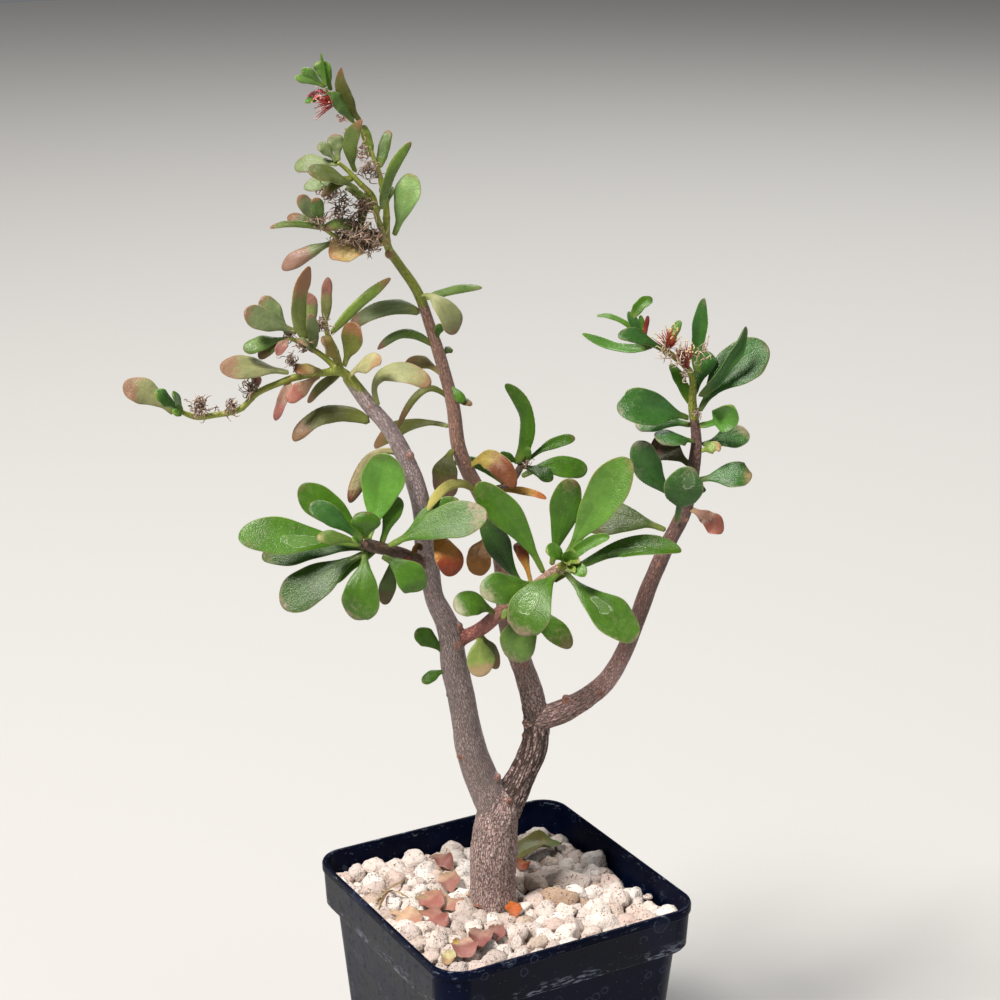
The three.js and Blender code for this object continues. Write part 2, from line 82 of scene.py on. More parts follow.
class Wire:
    def __init__(self, finish, socket):
        self.finish = finish
        self.socket = socket

    def __add__(self, other):
        return self.finish.maths("ADD", self, other)

    def __sub__(self, other):
        return self.finish.maths("SUBTRACT", self, other)

    def __rsub__(self, other):
        return self.finish.maths("SUBTRACT", other, self)

    def __mul__(self, other):
        return self.finish.maths("MULTIPLY", self, other)

    __radd__ = __add__
    __rmul__ = __mul__

    def other(self, number):
        return Wire(self.finish, self.socket.node.outputs[number])


class Finish:
    def __init__(self, name):
        self.material = bpy.data.materials.new(name)
        self.material.use_nodes = True
        self.tree = self.material.node_tree
        self.shader = self.tree.nodes["Principled BSDF"]

    def feed(self, socket, value):
        if isinstance(value, Wire):
            self.tree.links.new(value.socket, socket)
        else:
            socket.default_value = value

    def node(self, kind, settings=None, sockets=None, output=0):
        made = self.tree.nodes.new(kind)
        for key, value in (settings or {}).items():
            setattr(made, key, value)
        for key, value in (sockets or {}).items():
            self.feed(made.inputs[key], value)
        return Wire(self, made.outputs[output])

    def maths(self, operation, a, b=0.0):
        return self.node("ShaderNodeMath", {"operation": operation}, {0: a, 1: b})

    def vectors(self, operation, *values):
        return self.node("ShaderNodeVectorMath", {"operation": operation}, dict(enumerate(values)))

    def stretched(self, vector, *by):
        return self.vectors("MULTIPLY", vector, by)

    def place(self):
        return self.node("ShaderNodeTexCoord", output=3)

    def attribute(self, name):  # as a colour
        return self.node("ShaderNodeAttribute", {"attribute_name": name})

    def values(self, name):  # the three numbers of a vector attribute
        return self.split(self.attribute(name).other(1))

    def split(self, vector):
        first = self.node("ShaderNodeSeparateXYZ", sockets={0: vector})
        return first, first.other(1), first.other(2)

    def cloud(self, vector, scale, detail=2.0, rough=0.5):
        sockets = {"Vector": vector, "Scale": scale, "Detail": detail, "Roughness": rough}
        return self.node("ShaderNodeTexNoise", sockets=sockets)

    def cells(self, vector, scale, feature="F1"):
        return self.node("ShaderNodeTexVoronoi", {"feature": feature}, {"Vector": vector, "Scale": scale})

    def step(self, value, low, high):
        sockets = {"Value": value, "From Min": low, "From Max": high}
        return self.node("ShaderNodeMapRange", {"interpolation_type": "SMOOTHSTEP"}, sockets)

    def blend(self, factor, a, b, how="MIX"):
        settings = {"data_type": "RGBA", "blend_type": how}
        return self.node("ShaderNodeMix", settings, {0: factor, 6: a, 7: b}, output=2)

    def cast(self, colour, by):
        return self.blend(1.0, colour, (*by, 1), "MULTIPLY")

    def paint(self, colour, *coats):
        # each coat is a mask with a tint, a colour or a cast of the colour under it
        for mask, coat in coats:
            if isinstance(coat, str):
                coat = tint(coat)
            elif isinstance(coat, tuple):
                coat = self.cast(colour, coat)
            colour = self.blend(mask, colour, coat)
        return colour

    def done(self, colour, roughness, height, distance, strength=1.0, **fixed):
        sockets = {"Strength": strength, "Distance": distance, "Height": height}
        self.feed(self.shader.inputs["Base Color"], colour)
        self.feed(self.shader.inputs["Roughness"], roughness)
        self.feed(self.shader.inputs["Normal"], self.node("ShaderNodeBump", sockets=sockets))
        for key, value in fixed.items():
            self.shader.inputs[key.replace("_", " ")].default_value = value
        return self.material


def only(*pieces):
    bpy.ops.object.select_all(action="DESELECT")
    for piece in pieces:
        piece.select_set(True)
    bpy.context.view_layer.objects.active = pieces[0]


def added(operator, name=None, **settings):
    # what an operator adds, with nothing else selected
    bpy.ops.object.select_all(action="DESELECT")
    operator(**settings)
    return named(bpy.context.object, name) if name else bpy.context.object


def named(piece, name):
    piece.name = piece.data.name = name
    return piece


def settle(piece):
    only(piece)
    bpy.ops.object.transform_apply(location=True, rotation=True, scale=True)
    return piece


def joined(name, parts):
    only(*parts)
    bpy.ops.object.join()
    return named(bpy.context.object, name)


def applied(piece, *modifiers):
    only(piece)
    for kind, settings in modifiers:
        modifier = piece.modifiers.new(kind.lower(), kind)
        for key, value in settings.items():
            setattr(modifier, key, value)
        bpy.ops.object.modifier_apply(modifier=modifier.name)
    return piece


def dress(piece, material, slot, *replaced):
    piece.data.materials.clear()
    piece.data.materials.append(material)
    if replaced:
        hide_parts(*replaced)
    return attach(piece, "root")


def shownAs(name, mesh):
    piece = bpy.data.objects.new(name, mesh)
    bpy.context.scene.collection.objects.link(piece)
    mesh.shade_smooth()
    return piece


def meshPiece(name, points, faces):
    mesh = bpy.data.meshes.new(name)
    mesh.from_pydata(np.asarray(points).tolist(), [], [tuple(int(i) for i in f) for f in faces])
    mesh.validate()
    mesh.update()
    return shownAs(name, mesh)


def setAttribute(mesh, name, values):
    values = np.asarray(values, np.float32).reshape(-1, 3)
    if len(values) == 1:
        values = np.repeat(values, len(mesh.vertices), axis=0)
    layer = mesh.attributes.new(name, "FLOAT_VECTOR", "POINT")
    layer.data.foreach_set("vector", values.ravel())


def pointsOf(mesh):
    flat = np.empty(len(mesh.vertices) * 3, np.float32)
    mesh.vertices.foreach_get("co", flat)
    return flat.reshape(-1, 3).astype(float)


def setPoints(mesh, points):
    mesh.vertices.foreach_set("co", np.asarray(points, np.float32).ravel())
    mesh.update()


# the camera and the studio

cameraPlace = {
    "location": (-0.3084, -0.5408, 0.4158), "azimuth": -29.6, "elevation": 17.85, "lens": 79.2, "sensor": 36,
    "lookedAt": (-0.01, 0.0, 0.2),
}
studio = {
    "floor": {"size": 8.0, "colour": "b6b5b2"},
    "air": {"colour": "e9ecf0", "strength": 0.2},
    "lamps": [  # name, azimuth from the camera's side, elevation, distance, size, power, colour
        ("key_lamp", -46, 56, 3.0, 0.9, 168.0, "fffaf5"),
        ("fill_lamp", 60, 24, 2.6, 1.6, 9.0, "f0f4ff"),
        ("back_lamp", 160, 48, 2.8, 1.0, 40.0, "ffffff"),
    ],
}


def floorFinish(name):
    f = Finish(name)
    return f.done(tint(studio["floor"]["colour"]), 0.85, f.cloud(f.place(), 300, 3), 0.0002, 0.3)


def setStudio():
    camera = added(
        bpy.ops.object.camera_add, "camera", location=cameraPlace["location"],
        rotation=(math.radians(90 - cameraPlace["elevation"]), 0, math.radians(cameraPlace["azimuth"])),
    )
    camera.data.lens = cameraPlace["lens"]
    camera.data.sensor_width = cameraPlace["sensor"]
    bpy.context.scene.camera = camera
    bpy.context.scene.view_settings.view_transform = "Standard"
    floor = added(bpy.ops.mesh.primitive_plane_add, "floor", size=studio["floor"]["size"])
    floor.data.materials.append(floorFinish("floor_paper"))
    air = bpy.data.worlds.new("air")
    air.use_nodes = True
    air.node_tree.nodes["Background"].inputs["Color"].default_value = tint(studio["air"]["colour"])
    air.node_tree.nodes["Background"].inputs["Strength"].default_value = studio["air"]["strength"]
    bpy.context.scene.world = air
    for name, azimuth, elevation, distance, size, power, colour in studio["lamps"]:
        around, raised = math.radians(cameraPlace["azimuth"] + azimuth), math.radians(elevation)
        level = math.cos(raised)
        way = Vector((math.sin(around) * level, -math.cos(around) * level, math.sin(raised)))
        spot = Vector(cameraPlace["lookedAt"]) + way * distance
        lamp = added(bpy.ops.object.light_add, name, type="AREA", location=spot)
        lamp.rotation_euler = way.to_track_quat("Z", "Y").to_euler()
        lamp.data.shape = "DISK"
        lamp.data.size = size
        lamp.data.energy = power
        lamp.data.color = tint(colour)[:3]


setStudio()
print("camera, floor and lamps are set")

# the stems

stemRoutes = {  # x, y, z and radius in mm, from the foot of each stem to its end
    "trunk": [
        (0, 0, -22, 3.4), (0, 0, -12, 6.2), (0, 0, -3, 7.4), (0, 0, 9, 7.2), (0.4, 0, 20, 7.4),
        (1, 0, 28, 7), (2.5, 0, 35, 6.2),
    ],
    "leftBranch": [
        (1.5, 0, 31, 5.4), (-4, 0, 45, 5.2), (-7, -2, 56, 4.7), (-8.5, -3, 66, 4.3), (-10, -4, 75, 4.1),
        (-11.5, -5, 83, 4.1), (-13, -6, 95, 3.6), (-17, -7, 105, 3), (-18.5, -8, 114, 3),
        (-20, -9, 123, 2.8), (-20.5, -10, 134, 2.8), (-23.5, -11, 146, 2.7), (-29, -12, 158, 2.4),
        (-35, -13, 166, 2.2), (-41, -14, 175, 1.9),
    ],
    "centreBranch": [
        (3, 0, 32, 5.4), (9.5, 2, 45, 4.4), (13, 3, 54, 4.2), (13, 4, 64, 3.9), (10, 5, 76, 3.5),
        (6, 6, 87, 3.3), (3.7, 6, 100, 3), (2.8, 6, 112, 2.7), (0.7, 6, 122, 2.5), (-2.6, 6, 131, 2.4),
        (-9.5, 6, 146, 2.2), (-12, 5, 163, 2), (-17, 3, 182, 1.7), (-21.5, 1, 196, 1.5),
        (-26.5, 0, 204, 1.4), (-29.5, -1, 208.5, 1.4),
    ],
    "rightBranch": [
        (12.5, 3.5, 61, 3.6), (21, 2, 65, 3.7), (28.5, 1, 70, 3.2), (34.5, 0, 76, 2.9), (39, 0, 84, 2.7),
        (43.5, 0, 96, 2.6), (47, 0, 107, 2.5), (51.5, 1, 118, 2.4), (57, 2, 130, 2.3), (59, 2, 141, 2),
        (60, 3, 151, 1.7), (58.5, 3, 162, 1.3), (58, 3, 171, 1.1), (52, 1, 177.5, 1), (44, -2, 182.5, 0.8),
    ],
    "redSideShoot": [
        (-12, -5.5, 89, 2.2), (-9, -6, 92, 2.2), (-3, -9, 96.5, 2.2), (4, -13, 104.5, 2),
        (11, -17, 111, 1.9), (18, -21, 118.5, 1.7), (21.5, -25, 122.5, 1.3),
    ],
    "leftRosetteShoot": [
        (-18.5, -8.5, 115.5, 1.8), (-25.5, -13, 121, 1.8), (-31, -17, 124, 1.8), (-35.5, -21, 126.5, 1.8),
        (-36.5, -26, 128.5, 1.3),
    ],
    "backShoot": [(-3, 6.5, 130, 1.4), (-1, 14, 131.5, 1.4), (4.5, 18, 132.5, 1.3), (9, 22, 138, 1.1)],
    "tallFlowerStem": [
        (-28.4, -0.7, 206.8, 1.3), (-29.9, -1, 210.3, 1.35), (-30, -1, 221, 1.1), (-31, -1, 227, 1),
        (-32, -1, 231, 0.9), (-33.7, -1, 236, 0.7), (-34.8, -1, 240, 0.65), (-37.7, -2, 244, 0.6),
        (-41, -3, 247, 0.55), (-44.5, -4, 251, 0.5), (-46, -5, 255, 0.45),
    ],
    "sideFlowerStem": [
        (-30.2, -2, 211.5, 1.1), (-32.4, -5, 219, 1), (-33.3, -6, 224.5, 0.95), (-37, -8, 229, 0.9),
        (-40.5, -9, 233, 0.75), (-42.7, -10, 235, 0.6),
    ],
    "lowFlowerStem": [
        (-30.3, -2.5, 211, 1), (-36, -7, 211, 0.9), (-42, -11, 213.5, 0.8), (-46.5, -14, 217, 0.65),
    ],
    "longLeftStem": [
        (-39.6, -13.8, 173, 1.7), (-42.5, -14.3, 176.2, 1.5), (-48, -16, 176.3, 1.25),
        (-55.5, -18, 175.5, 1.2), (-59, -19, 174.5, 1.1), (-66, -20, 171.5, 1.05), (-71, -21, 167, 1),
        (-78.5, -22, 165.5, 1), (-83, -22, 165, 1), (-86.5, -23, 166.5, 0.9), (-89.5, -23, 168.5, 0.8),
    ],
    "uprightLeftStem": [
        (-43, -14.2, 177, 1.25), (-44.5, -13, 182.5, 1.1), (-46.5, -12, 186.5, 0.9), (-47, -12, 190.5, 0.7),
    ],
    "shortLeftStem": [
        (-43.5, -14.6, 177, 1.1), (-48, -16, 181.5, 0.95), (-52.5, -18, 185, 0.85),
        (-56.5, -20, 187.5, 0.7),
    ],
}
stemForm = {
    "pace": 0.8, "swell": 0.045,  # sample spacing in mm, and how far the radius wanders
    "wood": {"voxel": 0.46, "rounds": 4, "seed": 0, "slim": 1},
    "green": {"voxel": 0.24, "rounds": 3, "seed": 10, "slim": 0.88},
    "woody": [
        "trunk", "leftBranch", "centreBranch", "rightBranch", "redSideShoot", "leftRosetteShoot", "backShoot",
    ],
    "top": ["tallFlowerStem", "sideFlowerStem", "lowFlowerStem"],
    "left": ["longLeftStem", "uprightLeftStem", "shortLeftStem"],
}


def smoothRoute(points, pace):
    # a centripetal curve through the points, with a sample every pace mm; gives x, y, z, radius rows
    rows = np.asarray(points, float)
    ends = np.vstack((2 * rows[0] - rows[1], rows, 2 * rows[-1] - rows[-2]))
    samples = []
    for i in range(1, len(ends) - 2):
        p0, p1, p2, p3 = ends[i - 1 : i + 3]
        t1 = np.linalg.norm(p1[:3] - p0[:3]) ** 0.5
        t2 = t1 + np.linalg.norm(p2[:3] - p1[:3]) ** 0.5
        t3 = t2 + np.linalg.norm(p3[:3] - p2[:3]) ** 0.5
        count = max(2, int(round(np.linalg.norm(p2[:3] - p1[:3]) / pace)))
        for t in np.linspace(t1, t2, count, endpoint=False):
            a1 = p0 * (t1 - t) / t1 + p1 * t / t1
            a2 = p1 * (t2 - t) / (t2 - t1) + p2 * (t - t1) / (t2 - t1)
            a3 = p2 * (t3 - t) / (t3 - t2) + p3 * (t - t2) / (t3 - t2)
            b1 = a1 * (t2 - t) / t2 + a2 * t / t2
            b2 = a2 * (t3 - t) / (t3 - t1) + a3 * (t - t1) / (t3 - t1)
            samples.append(b1 * (t2 - t) / (t2 - t1) + b2 * (t - t1) / (t2 - t1))
    samples.append(rows[-1])
    return np.array(samples)


routes = {name: smoothRoute(points, stemForm["pace"]) for name, points in stemRoutes.items()}
allSamples = np.vstack(list(routes.values()))


def stemTube(name, seed, slim):
    path = added(bpy.ops.curve.primitive_nurbs_path_add)
    path.data.splines.clear()
    line = path.data.splines.new("POLY")
    line.points.add(len(routes[name]) - 1)
    for i, (spot, row) in enumerate(zip(placed(routes[name][:, :3]), routes[name])):
        swell = 1 + stemForm["swell"] * noise.noise(Vector((i * 0.11, seed * 3.7, 0.5)))
        line.points[i].co = (*spot, 1)
        line.points[i].radius = row[3] * swell * slim
    path.data.bevel_depth = mm
    path.data.bevel_resolution = 7
    path.data.use_fill_caps = True
    only(path)
    bpy.ops.object.convert(target="MESH")
    return settle(bpy.context.object)


def growStems(name, members, knobs, growth):
    parts = [stemTube(member, seed, growth["slim"]) for seed, member in enumerate(members, growth["seed"])]
    for x, y, z, size in knobs:
        ball = {"subdivisions": 3, "radius": size * mm, "location": placed((x, y, z))[0]}
        parts.append(settle(added(bpy.ops.mesh.primitive_ico_sphere_add, **ball)))
    piece = applied(
        joined(name, parts),
        ("REMESH", {"mode": "VOXEL", "voxel_size": growth["voxel"] * mm}),
        ("SMOOTH", {"factor": 0.5, "iterations": growth["rounds"]}),
    )
    piece.data.shade_smooth()
    return piece


def stemCoordinates(points, members):
    # for each point: the stem it lies on, the sample along it, the way out from its line, and the radius
    lines = np.vstack([placed(routes[m][:, :3]) for m in members])
    radii = np.concatenate([routes[m][:, 3] for m in members])
    owner = np.concatenate([np.full(len(routes[m]), i) for i, m in enumerate(members)])
    order = np.concatenate([np.arange(len(routes[m])) for m in members])
    nearest = np.empty(len(points), int)
    block = 4000
    for start in range(0, len(points), block):
        away = points[start : start + block, None, :] - lines[None, :, :]
        nearest[start : start + block] = (np.linalg.norm(away, axis=2) - radii * mm).argmin(axis=1)
    return owner[nearest], order[nearest], unit(points - lines[nearest]), radii[nearest]


woodLook = {
    "tints": {  # bark low and high on each stem, and the heights between which it changes
        "trunk": ("b39a94", "ad948e", 0, 40), "leftBranch": ("9c8b87", "b5a3a2", 60, 160),
        "centreBranch": ("a98e87", "a17d6d", 66, 104), "rightBranch": ("c4a199", "775a52", 72, 92),
        "redSideShoot": ("a86c63", "b3917f", 95, 116), "leftRosetteShoot": ("77594a", "6b5344", 115, 125),
        "backShoot": ("6b5344", "77614f", 130, 140),
    },
    "crack": "3f2d26", "fleck": "e3d0c6", "scar": "b07a64", "scarHeart": "70463a",
    "young": ("848c2c", "a0a64c"),
    "youngFrom": {"leftBranch": 171, "centreBranch": 192, "rightBranch": 157},
    "knobs": [  # stem, x, z and size in mm: where leaves and twigs have dropped
        ("centreBranch", -10.6, 164.6, 0.6), ("leftBranch", -23.7, 151.1, 1.5),
        ("leftBranch", -9.6, 96.4, 1.3), ("leftBranch", -10.2, 91, 1.7),
        ("centreBranch", -29.2, 207.5, 1.5), ("leftBranch", -9.8, 53, 1.3), ("leftBranch", 1.3, 44.6, 1.4),
        ("trunk", 5.2, 38, 1.2), ("centreBranch", 9.4, 61, 0.9), ("centreBranch", 8.4, 57, 0.9),
        ("rightBranch", 21.9, 70.5, 1.5), ("rightBranch", 32.5, 73, 1.5), ("rightBranch", 49.5, 114, 0.7),
        ("centreBranch", 9.6, 80.2, 1.2), ("rightBranch", 39.3, 83.8, 0.7),
        ("rightBranch", 57.5, 127.4, 0.8), ("rightBranch", 57.6, 134.2, 0.7),
        ("leftBranch", -19.8, 118.4, 0.7), ("leftBranch", -18.4, 108, 0.6), ("leftBranch", -34.5, 166, 0.7),
        ("centreBranch", -14.5, 172, 0.5), ("centreBranch", -19, 188, 0.5),
        ("redSideShoot", 4.4, 105.5, 0.9), ("redSideShoot", 10.5, 111, 0.8),
        ("rightBranch", 59.5, 148, 0.6), ("centreBranch", 0.4, 121, 0.6), ("leftBranch", -14.6, 73, 0.7),
    ],
}


def onStem(name, x, z):
    # the spot on the stem's near side at this x and height
    rows = routes[name]
    nearest = rows[np.hypot(rows[:, 0] - x, rows[:, 2] - z).argmin()]
    gap = np.array((x - nearest[0], z - nearest[2]))
    reach = min(np.hypot(*gap), 0.92 * nearest[3])
    gap *= reach / max(np.hypot(*gap), 1e-6)
    return (nearest[0] + gap[0], nearest[1] - math.sqrt(nearest[3] ** 2 - reach**2), nearest[2] + gap[1])


def stemGrain(owner, order, outward, radii):
    # the grain follows the stem: round it at true size, along it by the sample number
    along = np.zeros((len(owner), 3))
    for i, name in enumerate(stemForm["woody"]):
        ways = unit(turned(np.gradient(routes[name][:, :3], axis=0)))
        along[owner == i] = ways[order[owner == i]]
    first = unit(np.cross(along, (0.3, 0.9, 0.1)))
    second = np.cross(along, first)
    flat = [(outward * way).sum(axis=1) * radii for way in (first, second)]
    return np.column_stack((*flat, order * stemForm["pace"] + owner * 37.0))


def barkShift(grain, coarse, furrow):
    # how far the bark stands out at each point, in mm
    shift = np.zeros(len(grain))
    for i, (x, y, z) in enumerate(grain):
        ridges = noise.noise(Vector((x * 0.9, y * 0.9, z * 0.3)))
        fissure = abs(noise.noise(Vector((x * 0.8 + 9, y * 0.8, z * 0.14))))
        lump = noise.noise(Vector((x * 0.25, y * 0.25, z * 0.13 + 4)))
        deep = max(0, 0.14 - fissure) / 0.14
        shift[i] = coarse[i] * 0.22 * ridges - furrow[i] * 0.55 * deep + 0.06 * ridges + 0.17 * lump
    return shift


def makeWood(name):
    woody = stemForm["woody"]
    knobs = [(*onStem(stem, x, z), size) for stem, x, z, size in woodLook["knobs"]]
    piece = growStems(name, woody, [(x, y + 0.45 * r, z, r) for x, y, z, r in knobs], stemForm["wood"])
    spots = pointsOf(piece.data)
    owner, order, outward, radii = stemCoordinates(spots, woody)
    height = (spots[:, 2] / mm) - plantStand["foot"][2]
    length = order * stemForm["pace"]
    onTrunk, onLeft, onCentre, onRight, onRed = (owner == i for i in range(5))
    grain = stemGrain(owner, order, outward, radii)
    coarse = np.select(  # old flecked bark at the foot, and how it gives way on each branch
        [onTrunk, onLeft, onCentre, onRight],
        [
            np.ones(len(spots)), 1 - smoothStep(height, 27, 31), 1 - smoothStep(height, 64, 92),
            0.8 - 0.8 * smoothStep(height, 68, 80),
        ],
        0.0,
    )
    furrow = np.where(onCentre, smoothStep(height, 28, 36) * (1 - smoothStep(height, 58, 74)), 0)
    furrow += np.where(onRight, 0.5 - 0.5 * smoothStep(height, 68, 78), 0)
    shift = barkShift(grain, coarse, furrow) * np.minimum(1, radii / 2.4)
    setPoints(piece.data, spots + outward * (shift * mm)[:, None])

    gaps = spots[:, None, :] - placed([k[:3] for k in knobs])
    nearKnob = (np.linalg.norm(gaps, axis=2) / (np.array([k[3] for k in knobs]) * mm)).min(axis=1)
    young = np.where(onRed, smoothStep(length, 47, 50), 0)
    for stem, start in woodLook["youngFrom"].items():
        mine = owner == woody.index(stem)
        young[mine] = smoothStep(height[mine], start - 5, start + 5)
    torn = np.where(onRed, 1 - smoothStep(length, 3.2, 5.5), 0)  # the ring where the side shoot breaks out
    scar = np.maximum(1 - smoothStep(nearKnob, 0.45, 1.45), torn * 0.6)
    bark = np.zeros((len(spots), 3))
    for i, stem in enumerate(woody):
        low, high, start, end = woodLook["tints"][stem]
        share = smoothStep(height, start, end)[:, None]
        bark[owner == i] = (rgb(low) * (1 - share) + rgb(high) * share)[owner == i]
    setAttribute(piece.data, "grain", grain)
    setAttribute(piece.data, "wood", np.column_stack((coarse, young, scar)))
    setAttribute(piece.data, "furrow", np.repeat(furrow[:, None], 3, axis=1))
    setAttribute(piece.data, "bark_tint", bark)
    return piece


def woodFinish(name):
    f = Finish(name)
    look = woodLook
    grain = f.attribute("grain").other(1)
    coarse, young, scar = f.values("wood")
    furrow = f.values("furrow")[0]
    bent = f.vectors("MULTIPLY_ADD", f.cloud(grain, 0.9).other(1), (0.9, 0.9, 1.6), grain)
    fine = f.cloud(f.stretched(bent, 1.0, 1.0, 0.5), 2.6, 4, 0.7)
    wide = f.cloud(grain, 0.2, 3, 0.6)
    bands = f.cloud(f.stretched(grain, 0.1, 0.1, 1.0), 0.8, 3, 0.6)
    net = f.step(f.cells(f.stretched(bent, 1.0, 1.0, 0.42), 1.45, "DISTANCE_TO_EDGE"), 0.16, 0.03)
    split = f.step(f.cells(f.stretched(bent, 1.0, 1.0, 0.15), 0.72, "DISTANCE_TO_EDGE"), 0.2, 0.05)
    fleck = f.step(f.cells(f.stretched(bent, 1.0, 1.0, 0.6), 1.25), 0.46, 0.24) * f.step(fine, 0.4, 0.54)
    stipple = f.step(fine, 0.45, 0.36)
    scarred = scar + (fine - 0.5) * 0.9 + (wide - 0.5) * 0.6
    colour = f.paint(
        f.attribute("bark_tint"),
        (f.step(wide, 0.32, 0.68) * 0.5, (1.45, 1.4, 1.4)),
        (f.step(bands, 0.55, 0.7) * 0.3, (0.7, 0.62, 0.6)),
    )
    dark = f.cast(colour, (0.42, 0.37, 0.35))
    green = f.blend(f.step(fine, 0.4, 0.65), *[tint(code) for code in look["young"]])
    colour = f.paint(
        colour,
        (net * (0.35 + wide * 0.6), dark),
        (stipple * 0.6, dark),
        # lighter where the fine grain stands highest: painted highlight on its raised points
        (f.step(fine, 0.54, 0.66) * 0.5, (1.7, 1.68, 1.66)),
        (coarse * net * 0.6, look["crack"]),
        (coarse * fleck * 0.9, look["fleck"]),
        (furrow * split * 0.9, look["crack"]),
        (f.step(young + (wide - 0.5) * 0.8 + (fine - 0.5) * 0.5, 0.35, 0.65), green),
        (f.step(scarred, 0.42, 0.7) * 0.65, look["scar"]),
        (f.step(scarred, 0.92, 1.08) * 0.8, look["scarHeart"]),
    )
    height = fine * 0.5 - net * 0.5 - stipple * 0.2 + coarse * fleck * 0.5
    height = height - furrow * split * 1.2 + bands * 0.2
    rough = 0.42 + coarse * 0.3 + (fine - 0.5) * 0.3
    return f.done(colour, rough, height, 0.0006, Specular_IOR_Level=0.45)


woodyStem = makeWood("woody_stem_bark")
dress(woodyStem, woodFinish("weathered_bark"), "bark", "woody_stem")
print("woody stem", len(woodyStem.data.polygons), "faces")

greenStems = {  # members, then x, y, z and size of the joints between them
    "top_flower_stems": ("top", [(-32.4, -4.6, 221, 1.1), (-31.3, -1.6, 212.5, 1.5)]),
    "left_flower_stems": ("left", [(-44, -14.6, 177.4, 1.9), (-52.6, -17, 176.3, 1.5)]),
}


def greenStem(node, members, knobs, finish):
    piece = growStems(node + "_green", members, knobs, stemForm["green"])
    spots = pointsOf(piece.data)
    owner, order, outward, radii = stemCoordinates(spots, members)
    grain = outward * radii[:, None]
    grain[:, 2] = order * stemForm["pace"] + owner * 17
    share = order / np.array([len(routes[m]) for m in members])[owner]
    wander = np.array([noise.noise(Vector((g * 0.5, 0.5, 7))) for g in grain[:, 2]])
    strength = np.array([max(0.0, noise.noise(Vector((g * 0.21, 3.5, 2))) + 0.25) for g in grain[:, 2]])
    ringed = np.maximum(0, np.sin(grain[:, 2] * 1.25 + 2.2 * wander)) ** 8
    knots = 0.16 * strength * ringed  # uneven rings where leaves were
    setPoints(piece.data, spots + outward * (knots * mm)[:, None])
    setAttribute(piece.data, "grain", grain)
    setAttribute(piece.data, "wood", np.column_stack((share, knots * 10, wander)))
    dress(piece, finish, "green_stem", node)
    print(piece.name, len(piece.data.polygons), "faces")


def greenStemFinish(name):
    f = Finish(name)
    grain = f.attribute("grain").other(1)
    share, knots, wander = f.values("wood")
    streak = f.cloud(f.stretched(grain, 1.0, 1.0, 0.15), 2.2, 3, 0.6)
    blotch = f.cloud(f.stretched(grain, 1.0, 1.0, 0.5), 0.5, 3, 0.6)
    colour = f.paint(
        tint("7a8428"),
        (f.step(streak, 0.4, 0.65), "999f44"),
        (f.step(blotch + wander * 0.3, 0.56, 0.74) * 0.5, "8f6a3e"),
        (f.step(share, 0.06, 0.0) * 0.5, "9a6f55"),
        (f.step(knots, 0.2, 0.9) * 0.35, "6d5030"),
    )
    return f.done(colour, 0.42 + (streak - 0.5) * 0.2, streak * 0.5 + knots, 0.0002, 0.7)


youngGreen = greenStemFinish("young_green_stem")
for node, (members, knobs) in greenStems.items():
    greenStem(node, stemForm[members], knobs, youngGreen)

# the leaves

leafLooks = {  # body and tip colour, where the tip colour starts, edge, dusty bloom and slot
    "fresh": ("426a14", "6b5a35", 0.97, 0.25, 0.35, "green_leaf"),
    "dusty": ("466b1b", "85705c", 0.92, 0.30, 0.9, "green_leaf"),
    "deep": ("2c5012", "56582c", 0.97, 0.25, 0.25, "green_leaf"),
    "bluish": ("376426", "6a6a4c", 0.95, 0.30, 0.7, "green_leaf"),
    "young": ("4f7a20", "7a8a3c", 0.97, 0.20, 0.1, "green_leaf"),
    "lime": ("768c3a", "8a7f45", 0.90, 0.25, 0.2, "green_leaf"),
    "edged": ("5d7636", "85533f", 0.90, 0.55, 0.4, "green_leaf"),
    # shaded: a darker body and tip, painted shade for leaves lying in shadow
    "shaded": ("465a22", "4a3a22", 0.72, 0.35, 0.3, "dull_leaf"),
    "olive": ("5c602a", "75553a", 0.75, 0.50, 0.35, "dull_leaf"),
    "greyed": ("728052", "87604c", 0.84, 0.70, 0.5, "dull_leaf"),
    "blushed": ("84864f", "8a5650", 0.58, 0.80, 0.4, "blushed_leaf"),
    "creamy": ("8f9062", "845c47", 0.82, 0.80, 0.5, "blushed_leaf"),
    "pink": ("9a7565", "86504a", 0.60, 0.70, 0.3, "blushed_leaf"),
    "petal": ("d0a09c", "b44650", 0.55, 0.50, 0.0, "blushed_leaf"),
    "tan": ("968550", "81613c", 0.70, 0.50, 0.3, "withering_leaf"),
    "cream": ("c2b487", "96704f", 0.78, 0.50, 0.2, "withering_leaf"),
    "yellow": ("a19543", "96692b", 0.68, 0.40, 0.2, "withering_leaf"),
    "amber": ("986024", "83371b", 0.50, 0.60, 0.2, "withering_leaf"),
    "red": ("90542b", "772f1f", 0.42, 0.50, 0.2, "withering_leaf"),
    "brown": ("744c22", "44301b", 0.68, 0.60, 0.2, "withering_leaf"),
}
leafSkins = {  # slot: finish, roughness and depth of the grain
    "green_leaf": ("fresh_leaf_skin", 0.28, 0.7), "dull_leaf": ("dull_leaf_skin", 0.36, 1.0),
    "blushed_leaf": ("blushed_leaf_skin", 0.38, 1.1), "withering_leaf": ("withering_leaf_skin", 0.42, 1.8),
}
leafShape = {  # sizes in mm; a leaf narrower than coarseFrom takes the small blank
    "blanks": {"fine": (26, 100), "small": (16, 42)}, "coarseFrom": 6.8, "thickness": 1.45, "petiole": 1.9,
    "tooth": 0.085, "reachBack": 0.9,
}
